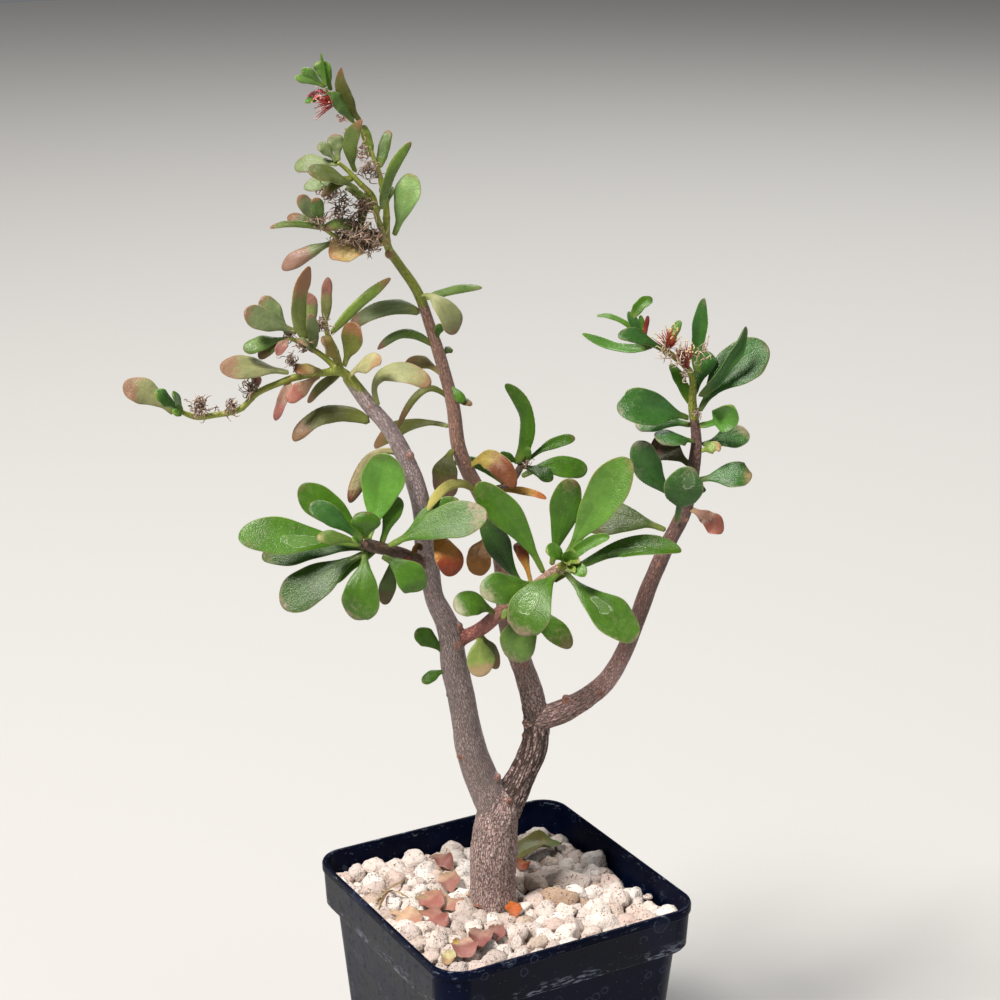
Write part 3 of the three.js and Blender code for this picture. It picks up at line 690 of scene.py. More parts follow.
outlines = {  # half width along the leaf, as a share of its greatest
    "spoon": lambda t: np.where(t < 0.7, 0.5 - 0.5 * np.cos(np.pi * t / 0.7), roundEnd(t, 0.7)),
    "strap": lambda t: np.where(t < 0.35, 0.35 + 0.65 * np.sin(np.pi * t / 0.7), roundEnd(t, 0.62)),
    "paddle": lambda t: np.sqrt(np.clip(1 - ((t - 0.68) / 0.32) ** 2, 0, 1)) * smoothStep(t, 0.2, 0.5),
    "lance": lambda t: np.where(t < 0.5, 0.5 - 0.5 * np.cos(2 * np.pi * t), 1 - np.abs(2 * t - 1) ** 2.2),
    "teardrop": lambda t: smoothStep(t, 0.0, 0.55) * roundEnd(t, 0.62),
}


def leafBlank(name, around, along):
    blank = added(bpy.ops.mesh.primitive_uv_sphere_add, name, segments=around, ring_count=along, radius=1)
    spots = pointsOf(blank.data)
    share = np.arccos(np.clip(spots[:, 2], -1, 1)) / math.pi
    ring = np.rint(share * along).astype(int)
    angle = np.arctan2(spots[:, 1], spots[:, 0])
    return {"piece": blank, "share": np.sin(share * math.pi / 2), "angle": angle, "ring": ring}


blanks = {size: leafBlank(size + "_blank", *counts) for size, counts in leafShape["blanks"].items()}


def leafAxes(line, faces, t, twist):
    # the middle of the leaf at each share of its length, and its side and upper directions there
    step = 1e-3
    forward = unit(line(np.minimum(t + step, 1)) - line(np.maximum(t - step, 0)))
    up = faces(t)
    up = unit(up - forward * (up * forward).sum(axis=1)[:, None])
    side = np.cross(forward, up)
    c, s = np.cos(twist)[:, None], np.sin(twist)[:, None]
    return line(t), side * c - up * s, up * c + side * s


def shapeLeaf(name, line, faces, width, outline, look, form, seed, size="fine"):
    # line and faces give the midrib and the upper side's direction as functions of the share of length
    rng = random.Random(seed)
    blank = blanks[size]
    t, angle = blank["share"], blank["angle"]
    twist = form.get("twist", rng.uniform(-9, 9))
    centre, side, up = leafAxes(line, faces, t, np.radians(twist) * t)

    across, height = np.cos(angle), np.sin(angle)
    left, wide = across < 0, np.abs(across)
    blade = width * mm * outlines[outline](t)
    stalk = min(leafShape["petiole"], 0.34 * width) * mm * np.minimum(1, 0.75 + 3 * t)
    stalk = stalk * np.sqrt(np.clip((1 - t) * 9, 0, 1))
    half = 0.5 * (blade**3 + stalk**3) ** (1 / 3) * np.sqrt(np.clip(t / 0.012, 0, 1))
    bends = [rng.uniform(0, 6.28) for _ in range(4)]
    uneven = 1 + 0.05 * np.sin(t * 7 + bends[0]) * np.where(left, 1, -1) + 0.03 * np.sin(t * 17 + bends[1])
    half = half * np.where(t > 0.25, uneven, 1)
    teeth = leafShape["tooth"] * mm * form.get("teeth", 1.0) * (blank["ring"] % 2) * smoothStep(t, 0.3, 0.45)
    teeth = teeth * wide**6 * np.clip(half / (1.2 * mm), 0, 1)
    for middle, reach, bite in form.get("bites", []):  # shares of length, and how deep from that edge
        hollow = np.clip(1 - np.abs((t - middle) / reach), 0, 1) ** 0.5
        half = half * np.where(left if bite < 0 else ~left, 1 - abs(bite) * hollow, 1)

    thick = leafShape["thickness"] * form.get("plump", 1.0) * mm
    thick = thick * np.minimum(1, half / (1.5 * mm)) * (1 - 0.3 * t)
    cup = form.get("cup", rng.uniform(0.02, 0.14)) * half * across**2
    rib = -0.12 * thick * np.exp(-((across / 0.16) ** 2)) * smoothStep(1 - t, 0.05, 0.5)
    rib *= np.where(height > 0, 1, -0.6)
    wave = wide**1.5 * np.sin(t * (9 + bends[2]) + np.where(left, 0, 2.2) + bends[3])
    wave *= form.get("wave", 0.28) * mm * smoothStep(t, 0.25, 0.6) * np.clip(half / (2.5 * mm), 0, 1)
    droop = -form.get("droop", 0.35) * mm * smoothStep(t, 0.7, 1.0) * np.clip(half.max() / (4 * mm), 0.2, 1)
    x = half * across + np.sign(across) * teeth
    y = thick * np.sign(height) * np.abs(height) ** 1.25 * 0.5 + cup + rib + wave + droop
    curl = form.get("curl")  # rolls the two edges towards the upper side
    if curl:
        bend = curl * across
        x = np.where(np.abs(bend) > 1e-3, half * np.sin(bend) / curl, x)
        y = y + half * (1 - np.cos(bend)) / curl
    mesh = blank["piece"].data.copy()
    mesh.name = name
    setPoints(mesh, centre + side * x[:, None] + up * y[:, None])

    body, tip, start, edge, dust, slot = leafLooks[look]
    lightness = 1 + rng.uniform(-0.12, 0.12)
    setAttribute(mesh, "blade", np.column_stack((t, across, smoothStep(height, -0.2, 0.2))))
    setAttribute(mesh, "body_tint", rgb(form.get("body", body)) * lightness)
    setAttribute(mesh, "tip_tint", rgb(form.get("tip", tip)))
    setAttribute(mesh, "marks", (form.get("start", start), form.get("edge", edge), form.get("dust", dust)))
    wet = form.get("wet", (-9.0, 0.0))  # where a patch of painted sheen lies on it: a paler film with a paler rim, also smoother
    setAttribute(mesh, "shine", (*wet, form.get("blotch", 0.15)))
    return shownAs(name, mesh), slot


def cadMidrib(node):
    # a frame leaf's foot and tip, then its rings' middles, shares of length and sides, and its greatest width
    work = bmesh.new()
    work.from_mesh(cadNodes[node].data)
    bmesh.ops.remove_doubles(work, verts=work.verts, dist=1e-6)
    stems = placed(allSamples[:, :3])
    poles = [v for v in work.verts if len(v.link_edges) == 8]
    foot = min(poles, key=lambda v: np.linalg.norm(stems - np.array(v.co), axis=1).min())
    seen, rings, front = {foot}, [], [foot]
    while front:
        following = []
        for v in front:
            for e in v.link_edges:
                w = e.other_vert(v)
                if w not in seen:
                    seen.add(w)
                    following.append(w)
        if following:
            rings.append(np.array([w.co for w in following], float))
        front = following
    base, tip = np.array(foot.co, float), rings.pop()[0]
    work.free()
    centres = np.array([r.mean(axis=0) for r in rings])
    gaps = [ring - centre for ring, centre in zip(rings, centres)]
    reach = [np.linalg.norm(gap, axis=1) for gap in gaps]
    widest = max(range(len(rings)), key=lambda i: reach[i].max())
    sides = [None] * len(rings)
    sides[widest] = gaps[widest][reach[widest].argmax()]
    for i in list(range(widest + 1, len(rings))) + list(range(widest - 1, -1, -1)):
        known = sides[i - 1] if i > widest else sides[i + 1]
        sides[i] = gaps[i][(gaps[i] @ known).argmax()]
    shares = 0.02 + 0.96 * np.arange(len(rings)) / (len(rings) - 1)
    return base, tip, centres, shares, unit(np.array(sides)), 2 * reach[widest].max() / mm


def frameLeaf(node, outline, look, form):
    base, tip, centres, shares, sides, width = cadMidrib(node)
    t = np.concatenate(([0], shares, [1]))
    p = np.vstack((base, centres, tip))
    length = np.linalg.norm(np.diff(p, axis=0), axis=1).sum()
    back = leafShape["reachBack"] * mm / length  # the stalk runs on to meet its stem
    fits = [np.polyfit(t, p[:, k], 3) for k in range(3)]
    ups = unit(np.cross(sides, np.gradient(centres, axis=0)))
    ups *= np.sign(ups @ turned((0, -0.7, 0.7))[0])[:, None]  # the upper side is the one turned to the viewer

    def line(share):
        return np.column_stack([np.polyval(fit, -back + (1 + back) * share) for fit in fits])

    def faces(share):
        u = np.clip(-back + (1 + back) * share, 0.02, 0.98)
        return np.column_stack([np.interp(u, shares, ups[:, k]) for k in range(3)])

    seed = sum(ord(c) * (i + 3) for i, c in enumerate(node))
    size = "fine" if width > leafShape["coarseFrom"] else "small"
    piece, slot = shapeLeaf(node + "_blade", line, faces, width, outline, look, form, seed, size)
    dress(piece, leafFinishes[slot], slot, node)


def leafFinish(name, gloss, grainDepth):
    f = Finish(name)
    place = f.place()
    along, across, upper = f.values("blade")
    start, edgeTint, dust = f.values("marks")
    sheenAlong, sheenAcross, blotch = f.values("shine")
    body, tip = f.attribute("body_tint"), f.attribute("tip_tint")
    large = f.cloud(place, 150, 3, 0.55)
    medium = f.cloud(place, 620, 3, 0.6)
    fine = f.cloud(place, 2400, 3, 0.65)
    veinSpace = f.node("ShaderNodeCombineXYZ", sockets={0: along * 3.0, 1: across * 9.0, 2: large})
    veins = f.cloud(veinSpace, 1.0)
    edge = f.maths("ABSOLUTE", across)
    rib = f.step(edge, 0.2, 0.02) * f.step(along, 0.95, 0.4)
    reach = along + (large - 0.5) * 0.4 + (medium - 0.5) * 0.25
    rim = f.step(edge + (medium - 0.5) * 0.4 + (along - 0.75) * 0.35, 0.78, 1.02)
    powder = f.step(fine + (medium - 0.5) * 0.9, 0.5, 0.74) * dust
    powder = powder * f.step(along + (large - 0.5) * 0.6, 0.62, 1.0)
    specks = f.step(f.cells(place, 1000), 0.15, 0.06) * f.step(medium, 0.52, 0.6)
    margin = f.step(edge, 0.95, 0.985) * f.step(along, 0.12, 0.3)
    farAlong, farAcross = (along - sheenAlong) * 4.2, (across - sheenAcross) * 1.5
    spread = f.maths("SQRT", farAlong * farAlong + farAcross * farAcross)
    spread = spread + (large - 0.5) * 1.3 + (medium - 0.5) * 0.35
    sheen = f.step(spread, 0.64, 0.6)
    sheenRim = f.step(spread, 0.53, 0.6) * f.step(spread, 0.67, 0.62)
    colour = f.paint(
        body,
        (f.step(large, 0.3, 0.7) * 0.9, (0.62, 0.68, 0.6)),
        (f.step(medium, 0.45, 0.7) * 0.3, (1.4, 1.3, 1.3)),
        (rib * 0.34, (1.5, 1.4, 1.4)),
        (f.step(along, 0.28, 0.02) * 0.4, "8a9448"),
        ((1 - upper) * 0.4, (0.72, 0.74, 0.6)),
        (f.step(reach, start - 0.08, start + 0.12) * 0.85, tip),
        (rim * edgeTint * 0.7, tip),
        (f.step(large + (medium - 0.5) * 0.5, 0.60, 0.72) * blotch * 0.8, tip),
        (powder * 0.36, "a89c80"),
        (specks * 0.4, "b9c49c"),
        # the pale margin: the leaf's own pale edge, made stronger as painted glint along the rim
        (margin * 0.5, "a3b070"),
        # painted sheen: a paler film and a paler rim on the sheen patch
        (sheen * 0.12, "9fb38c"),
        (sheenRim * f.step(medium, 0.42, 0.56) * 0.34, "c3d0b0"),
    )
    rough = gloss + (fine - 0.5) * 0.3 + powder * 0.2 - sheen * 0.12 + (medium - 0.5) * 0.15
    height = fine * 0.7 + medium * grainDepth + veins * 0.5 * grainDepth + sheenRim * 0.3
    return f.done(colour, rough, height, 0.00022, 0.9, Specular_IOR_Level=0.34)


leafFinishes = {slot: leafFinish(*skin) for slot, skin in leafSkins.items()}


def leaf(kind, *place, **form):
    # a row of the leaf lists: outline and look, its place if the frame doesn't give it, and what is special
    return (*place, *kind.split(), form)


frameLeaves = {  # each group's leaves, in the order of their numbers
    "left_rosette": [
        leaf("spoon fresh", wave=0.35, dust=0.6, wet=(0.45, -0.2)),
        leaf("spoon deep"),
        # a darker body: painted shade for a cupped leaf that catches no highlight
        leaf("spoon dusty", twist=-6, start=0.94, tip="8d7565", dust=0.35, body="34560f"),
        leaf("spoon fresh"),
        leaf("spoon fresh", cup=0.2, body="5a8a32"),
        leaf("spoon fresh", cup=-0.1, twist=0, dust=0),
        leaf("spoon dusty", cup=0.12, start=0.9, tip="8f7a62"),
        leaf("spoon fresh"),
        leaf("spoon dusty", bites=[(0.99, 0.06, -0.3)], start=0.96),
        leaf("spoon fresh", body="4d781e", bites=[(0.98, 0.06, 0.3)]),
    ],
    "right_rosette": [
        leaf("spoon fresh", edge=0.5, body="3a6012"),
        # a lighter body: painted sheen
        leaf("spoon fresh", body="5c8632", cup=0.3, twist=8, tip="7c5a38", start=0.97, edge=0.5),
        leaf("spoon fresh", cup=0.5, bites=[(0.45, 0.12, 0.4)], wet=(0.6, 0.1)),
        leaf("spoon dusty", start=0.95, wave=0.4, wet=(0.52, -0.1)),
        leaf("spoon dusty", wet=(0.6, 0.2), bites=[(0.98, 0.08, -0.35), (0.98, 0.08, 0.25)]),
        leaf("paddle dusty", body="587630"),
        leaf("spoon dusty", start=0.9, tip="8d8a6a"),
        leaf("spoon dusty", start=0.85, tip="8d8a6a"),
        leaf("spoon fresh", cup=0.2),
        leaf("spoon deep"),
    ],
    "right_branch": [
        # a darker body and tip than the look: painted shade
        leaf("spoon shaded", wave=0.2, dust=0, body="3a4c16", tip="4a4a24"),
        leaf("paddle bluish", wet=(0.8, 0.1), dust=1.2, bites=[(0.98, 0.1, 0.35)], teeth=2),
        leaf("spoon bluish", start=0.93, teeth=2, tip="8b8a72"),
        leaf("spoon bluish", tip="8d7550", start=0.86, bites=[(0.94, 0.1, -0.4)], teeth=2),
        leaf("spoon bluish", teeth=2),
        leaf("spoon bluish", tip="8b7a5e", start=0.86, teeth=2),
        leaf("paddle young", cup=0.5, wave=0.6, body="4f7f30"),
        leaf("spoon bluish", cup=0.3, bites=[(0.97, 0.08, 0.3)]),
        leaf("spoon bluish", tip="5f5836", start=0.95, edge=0.6, cup=0.12, dust=0.2),
        leaf("strap bluish", cup=0.7, wave=0.6, dust=0.2),
        leaf("strap bluish", cup=0.7, wave=0.6, dust=0.2),
        leaf("strap young", cup=0.7, body="4c7a2c"),
    ],
    "centre_branch": [
        leaf("teardrop brown", tip="95652c", edge=0.9, blotch=0.3),
        leaf("teardrop olive", tip="7d5f4c", start=0.55),
        leaf("spoon olive"),
        leaf("strap greyed", wave=0.4),
        leaf("spoon creamy", start=0.92),
    ],
    "back_shoot": [
        leaf("strap fresh"),
        leaf("spoon fresh"),
    ],
    "left_branch": [
        leaf("spoon amber", tip="7a2416", start=0.62, blotch=0.8, body="a9702c"),
        leaf("strap olive"),
        leaf("spoon creamy", tip="8a6244"),
    ],
    "left_spray": [
        leaf("spoon creamy", blotch=0.4, start=0.75),
        leaf("spoon creamy", blotch=0.4, start=0.75),
        leaf("spoon olive", tip="7d5038"),
        leaf("strap lime", tip="8a6a45", start=0.8),
        leaf("strap olive", body="7f8a4a", tip="94604a", start=0.6, edge=0.6, blotch=0.3),
        leaf("spoon greyed"),
    ],
    "top_spray": [
        # a lighter, whitish body: painted sheen
        leaf("spoon fresh", tip="7a5a40", start=0.95, edge=0.5, body="7a9858"),
        leaf("strap lime", tip="8a5a42", start=0.95, body="647f30"),
        leaf("lance olive", tip="6e4c30", start=0.85),
        leaf("spoon young"),
        leaf("spoon olive", start=0.95, body="66713c"),
        leaf("lance edged", body="5a6c30"),
    ],
}
for group, rows in frameLeaves.items():
    for number, row in enumerate(rows, 1):
        frameLeaf(f"{group}_leaf_{number}", *row)
print(sum(len(rows) for rows in frameLeaves.values()), "frame leaves are shaped")

smallLeaves = {  # kind, foot and reach in the plant's own mm, width and what is special about it
    "left_rosette_small_leaves": [
        leaf("spoon bluish", (-36, -22, 127), (-16, 0, 12), 6.2),
        leaf("spoon lime", (-36, -25, 128), (-13.5, -4, 3.4), 4.2, body="5f7a30"),
        leaf("spoon fresh", (-32, -18, 124), (5, 4, 15), 5.3),
        leaf("spoon shaded", (-28, -15, 123), (-3.5, 0, -17), 4.8),
        leaf("strap fresh", (-33, -19, 125), (-13, -3, -10), 3.4),
        leaf("strap red", (-25, -12, 122), (1.5, -3, -5), 2.4, curl=0.9, arch=2),
        leaf("strap brown", (-24, -11, 121), (3.5, -3, 1.5), 2.2, curl=0.9, arch=2),
        leaf("spoon young", (-36, -25, 128), (-3, -5, 3), 2.6),
    ],
    "right_rosette_small_leaves": [
        leaf("spoon dusty", (7, -15, 107), (16, -6, -12), 6.6, start=0.85, tip="7a6e48"),
        leaf(
            "teardrop young", (-4, -8, 96), (0.5, -5, -13.5), 8.2, body="8a9c50", tip="a88868", start=0.7,
            dust=1.2,
        ),
        leaf("teardrop olive", (-2, -7, 94), (3.5, -1, -11), 4.5),
        leaf("spoon young", (21, -26, 123), (-5.5, -3, 5), 5.0, cup=0.4),
        leaf("spoon young", (21.5, -26.5, 123), (5, -5, -2), 4.0, cup=0.4, arch=1),
        leaf("spoon young", (21.5, -26, 123), (1.5, -2.5, 5), 4.4, cup=0.5, arch=-1),
        leaf("spoon lime", (21.5, -26, 123), (3.5, -4, 1.5), 2.6, cup=0.8),
        leaf("spoon lime", (21.5, -26, 123), (0.5, -4.5, 1), 2.2, cup=0.8),
        leaf("spoon lime", (21.5, -26, 123), (2.2, -5, -1), 2.0, cup=0.8),
        leaf("strap young", (21.6, -25, 123.5), (12, -1, 7.5), 3.4, cup=0.7),
        leaf("spoon amber", (12, -17, 112), (-5, 6, 12), 4.2, arch=3, body="ad7a34", curl=0.6),
        leaf("strap lime", (6, -13, 105), (-3, -3, -3), 1.8),
    ],
    "centre_dry_leaves": [
        leaf("strap yellow", (-6, 3, 133.6), (-12.5, -21, 2.6), 3.1, arch=5.4, tip="a39a4e", body="a8a050"),
        leaf(
            "teardrop red", (-7, 5, 141.5), (13.5, -8, -3.4), 7.4, arch=5.2, body="94803a", tip="6e3026",
            start=0.5, edge=0, blotch=0.5, curl=0.8, wave=0.8,
        ),
        leaf(
            "spoon amber", (-4, 7, 133), (20, -4, 0), 2.8, arch=1.8, curl=0.9, body="b8883f", tip="a85c34",
            start=0.8, wave=0.9,
        ),
        leaf("strap yellow", (-3, 6, 133), (12.5, -4, -9), 2.6, arch=3, body="8f9440"),
        leaf("strap olive", (-12, 5, 164), (-16, -6, -9), 2.2, arch=7),
        leaf("strap edged", (-21, 1, 193), (18, 6, 3), 2.8),
        leaf("strap edged", (-16, 3, 180), (-17, -6, 0), 2.8, arch=4, body="5d7638"),
        leaf("spoon tan", (-14, 4, 171), (-12, 6, 1), 4.9, arch=2),
        leaf("strap olive", (-12, 5, 163), (6, -3, -1), 2.5),
        leaf("spoon fresh", (-17, 3, 181), (2, -4, 6), 2.8),
        leaf("spoon edged", (-15, 4, 176), (3, 3, 2), 2.5),
        leaf("spoon fresh", (-13, 5, 168), (4.5, -4, -5), 3.0),
        leaf(
            "spoon cream", (-27, -12, 151), (-14, -2, -14), 5.2, tip="7d3028", edge=1.0, arch=6, start=0.9,
            face=(0.2, -0.9, 0.3),
        ),
        leaf("spoon fresh", (-12, -5, 88), (-11, -4, 7), 5.6),
        leaf("spoon young", (-11, -5, 82), (-10, -4, -3), 3.6),
        leaf("spoon cream", (-41, -14, 175), (10, -14, 7), 6.0, bites=[(0.95, 0.15, 0.5)], body="aaa478"),
    ],
    "back_shoot_small_leaves": [
        leaf("spoon fresh", (9, 22, 138), (16, 4, 7), 3.6, cup=0.4),
        leaf("spoon deep", (8, 22, 137), (10, -4, -3), 4.4),
        leaf("strap young", (9, 22, 138), (2, -3, 6), 2.6),
        leaf("spoon fresh", (9, 22, 138), (-7, -3, 4), 3.0),
        leaf("strap fresh", (4, 18, 132), (-16, -2, 8), 3.4, arch=3),
    ],
    "right_spray_small_leaves": [
        leaf("strap young", (44, -2, 183), (-14, 3, 6), 1.7, arch=2.2),
        leaf("strap bluish", (43, -2, 183), (-4, 0, 8), 3.0, arch=-1, cup=0.6),
        leaf("strap fresh", (40, -2, 189), (6, 1, 5), 3.2, arch=1.5, cup=0.6),
        leaf("strap red", (44, -3, 183), (0.6, 0, 7), 1.5, body="a04a38", tip="7a2a22"),
        leaf("strap young", (44, -2.5, 183), (-1.5, 0, 7), 1.8),
        leaf("spoon bluish", (49, 0, 179), (-13, -8, 6), 5.0, arch=1.5, cup=0.3),
        leaf("strap young", (50, 0, 178), (4.5, 4, 9), 2.6),
        leaf("spoon bluish", (58, 3, 165), (6, 8, 11), 6.2, dust=0.9),
        leaf("strap fresh", (58, 3, 162), (-6, 4, 11), 3.4, cup=0.6),
        leaf("spoon bluish", (59, 3, 156), (-17, 3, -1), 6.6, dust=1.2, tip="93907c", start=0.85),
        leaf(
            "spoon lime", (60, 3, 148), (7, -3, 1.5), 4.0, bites=[(0.8, 0.15, 0.6)], tip="96704a",
            start=0.72,
        ),
        leaf("spoon olive", (59, 2, 143), (-12, 8, 5), 9.5, body="4e4c28", tip="5f3a28", start=0.7, dust=0.8),
        leaf(
            "spoon pink", (57, 2, 131), (10.5, -7, -6), 6.4, body="9c705c", tip="8a4c3e", curl=0.5,
            wave=0.9, blotch=0.5, dust=0.8,
        ),
        leaf("spoon deep", (58, 2, 133), (5, 8, 2), 4.2),
    ],
    "top_spray_small_leaves": [
        leaf("spoon young", (-46, -5, 255), (-2, 0, 7), 3.4, body="5a7c34"),
        leaf("spoon young", (-46, -5, 255), (-6.2, -3, 5.2), 3.1, body="5a7c34"),
        leaf("spoon young", (-46, -5, 255), (-8, -5, 3.2), 2.6, body="5f7f3a"),
        leaf("strap young", (-46, -5, 256), (-1, -1, 8.5), 0.9, arch=0),
        leaf("spoon young", (-45, -4, 253), (-6.5, -4, -1.8), 2.0),
        leaf("lance petal", (-45, -5, 253), (-6, -2, -0.4), 1.7, plump=0.5),
        leaf("lance petal", (-45, -5, 253), (-4.5, -3, -1.2), 1.2, plump=0.5),
        leaf("lance petal", (-45, -5, 253), (-3.5, -2, 1.2), 1.2, plump=0.5, body="a8403c"),
        leaf("lance fresh", (-39, -2, 245), (-6, -6, 9), 4.6, body="557234"),
        leaf("strap lime", (-34, -1, 235), (-2, 0, 9), 2.7),
        leaf("strap edged", (-32, -1, 232), (3, 4, 10), 3.2),
        leaf("spoon edged", (-30, -1, 220), (0, 6, 6), 4.3),
        leaf("spoon greyed", (-43, -10, 235), (-0.5, 2, 7.5), 4.4, start=0.9, body="6f7c50"),
        leaf("spoon greyed", (-43, -10, 235), (-5, 0, 5), 4.1, start=0.95),
        leaf("spoon greyed", (-42, -10, 234), (-13, 2, -1), 5.6, start=0.97),
        leaf("spoon greyed", (-38, -8, 230), (-14, -4, -2), 4.4, start=0.97, body="75875a"),
        leaf("strap olive", (-39, -8, 231), (-8, -6, -5), 2.7),
        leaf("spoon greyed", (-46, -14, 217), (-7, -4, 10), 4.4),
        leaf("spoon edged", (-46, -14, 217), (-3, -2, 9), 4.2),
        leaf("spoon olive", (-46, -14, 217), (-11, 2, 3), 3.2, tip="7a5034"),
        leaf("strap edged", (-46, -14, 217), (-15, -6, 1.5), 2.2, body="5f7034"),
        leaf("strap edged", (-32, -5, 209), (-15, -10, 8), 4.2, arch=3, body="66763a"),
        leaf("strap lime", (-33, -5, 221), (-8, 2, 6), 2.4),
        leaf("strap edged", (-36, -8, 224), (-1, 2, -8), 2.6),
        leaf(
            "spoon yellow", (-32, -6, 211), (-13, -8, -2), 9.0, body="b39a66", tip="96653f", start=0.85,
            curl=0.8, wave=0.8, blotch=0.7,
        ),
        leaf("spoon edged", (-42, -11, 213), (-17, 0, -8), 4.8, tip="8a6258", start=0.5, body="6f7c48"),
    ],
    "left_spray_small_leaves": [
        leaf("spoon blushed", (-51, -17, 184), (-1, 4, 15), 5.3, start=0.72, body="849050"),
        leaf("strap blushed", (-47, -12, 190), (1, 0, 13), 3.0, start=0.5),
        leaf("spoon greyed", (-56, -20, 188), (-8, 0, 11), 5.2, dust=1.2),
        leaf("spoon young", (-56, -20, 188), (-13, -4, -3), 4.6, body="5c7838", tip="7a6a44"),
        leaf("spoon pink", (-56, -20, 188), (-3, -10, -3), 3.4, curl=0.8),
        leaf("spoon olive", (-56, -20, 188), (-9, -2, -6), 3.5),
        leaf("strap pink", (-57, -19, 175), (-4, -3, -11), 3.2, curl=0.7, wave=0.8),
        leaf("spoon pink", (-66, -21, 171.5), (0.5, -1, 5.5), 2.6, body="8a6a58"),
        leaf("spoon pink", (-49, -16, 176), (-8, -8, -6), 4.6, body="a88468", tip="94554a"),
        leaf("strap olive", (-43, -14, 175), (-10, 4, -9), 3.2),
        leaf("spoon tan", (-48, -16, 176), (-6, -10, 3), 5.6, body="8c7a48", tip="7a5038"),
        leaf("spoon olive", (-44, -14, 178), (-3, -8, 9), 5.2, body="857840"),
        leaf("strap greyed", (-50, -17, 184), (0, -6, 11), 3.2, tip="9a6a5c"),
        leaf("spoon greyed", (-50, -17, 183), (-3, -6, 4), 4.2),
        leaf("spoon young", (-88, -23, 167), (-5, -8, 7), 4.7, body="4f7c34"),
        leaf("spoon young", (-87, -23, 167), (-1, -8, 7), 3.5, body="4f7c34"),
        leaf("spoon young", (-86, -23, 167), (-2.5, -6, 1), 2.8),
    ],
}


def arched(start, middle, end):
    def line(share):
        u = np.asarray(share)[:, None]
        return start * (1 - u) ** 2 + middle * 2 * u * (1 - u) + end * u**2

    return line


def facing(way):
    return lambda share: np.repeat(np.array(way)[None], len(share), axis=0)


def smallLeaf(foot, reach, width, outline, look, form, seed):
    foot, reach = np.array(foot, float), np.array(reach, float)
    gap = np.linalg.norm(allSamples[:, :3] - foot, axis=1)
    nearest = gap.argmin()
    start, end = foot, foot + reach
    if gap[nearest] < 4:  # it leaves from just under the skin of its stem
        around = allSamples[max(0, nearest - 1) : nearest + 2, :3]
        way = unit(around[-1] - around[0])
        out = reach - way * (reach @ way)
        if np.linalg.norm(out) > 0.2 * np.linalg.norm(reach):
            start = allSamples[nearest, :3] + unit(out) * allSamples[nearest, 3] * 0.6
    rng = random.Random(seed)
    length = np.linalg.norm(end - start)
    arch = form.get("arch", 0.07 * length + rng.uniform(-0.03, 0.03) * length)
    steep = abs(reach[2]) > 0.8 * length
    middle = (start + end) / 2 + np.array((0, 0, 2.0)) * arch * (0.6 if steep else 1)
    face = turned(form.get("face", (rng.uniform(-0.25, 0.25), -0.75, 0.6)))[0]
    line = arched(*placed([start, middle, end]))
    return shapeLeaf("part", line, facing(face), width, outline, look, form, seed, "small")


def joinBySlot(name, leaves):
    # one piece for each slot among the leaves
    bySlot = {}
    for part, slot in leaves:
        bySlot.setdefault(slot, []).append(part)
    for slot, parts in bySlot.items():
        dress(joined(name + "_" + slot.split("_")[0], parts), leafFinishes[slot], slot)


for group, rows in smallLeaves.items():
    joinBySlot(group, [smallLeaf(*row, 101 * number + len(group)) for number, row in enumerate(rows)])
print("small leaves are shaped")

# the flowers: fine strands, open and dried

strandForm = {"sides": 4, "steps": 8}


def strandMesh(name, strands):
    # each strand: its line of points in mm, its radius, how flat it is, and its colours at foot and tip
    sides, steps = strandForm["sides"], strandForm["steps"]
    points, faces, tints = [], [], []
    t = np.linspace(0, 1, steps)
    profile = np.minimum(1, 0.6 + 2 * t) * np.sqrt(np.clip(1.02 - t**3, 0.02, 1))
    for line, radius, flat, footTint, tipTint in strands:
        line = np.asarray(line, float)
        known = np.linspace(0, 1, len(line))
        path = np.column_stack([np.interp(t, known, line[:, k]) for k in range(3)])
        way = unit(np.gradient(path, axis=0))
        side = unit(np.cross(way, (0.31, 0.77, 0.55)))
        up = np.cross(side, way)
        start = len(points)
        for i in range(steps):
            for k in range(sides):
                a = 2 * math.pi * k / sides
                out = side[i] * math.cos(a) * flat + up[i] * math.sin(a)
                points.append(path[i] + radius * profile[i] * out)
                tints.append(footTint * (1 - t[i]) + tipTint * t[i])
        points += [path[0] - way[0] * radius * 0.4, path[-1] + way[-1] * radius * 0.6]
        tints += [footTint, tipTint]
        foot, tip = start + steps * sides, start + steps * sides + 1
        around = [(k, (k + 1) % sides) for k in range(sides)]
        for ring in range(start, foot - sides, sides):
            faces += [(ring + k, ring + n, ring + sides + n, ring + sides + k) for k, n in around]
        for k, n in around:
            faces += [(foot, start + n, start + k), (tip, foot - sides + k, foot - sides + n)]
    piece = meshPiece(name, placed(np.array(points)), faces)
    setAttribute(piece.data, "strand_tint", np.array(tints))
    return piece


def strandFinish(name, rough):
    f = Finish(name)
    fine = f.cloud(f.place(), 1800, 3, 0.6)
    wide = f.cloud(f.place(), 500)
    colour = f.paint(
        f.attribute("strand_tint"),
        (f.step(fine, 0.4, 0.7) * 0.5, (0.55, 0.5, 0.48)),
        (f.step(wide, 0.5, 0.75) * 0.35, (1.6, 1.5, 1.45)),
    )
    return f.done(colour, rough + (fine - 0.5) * 0.2, fine, 0.0001, 0.6)


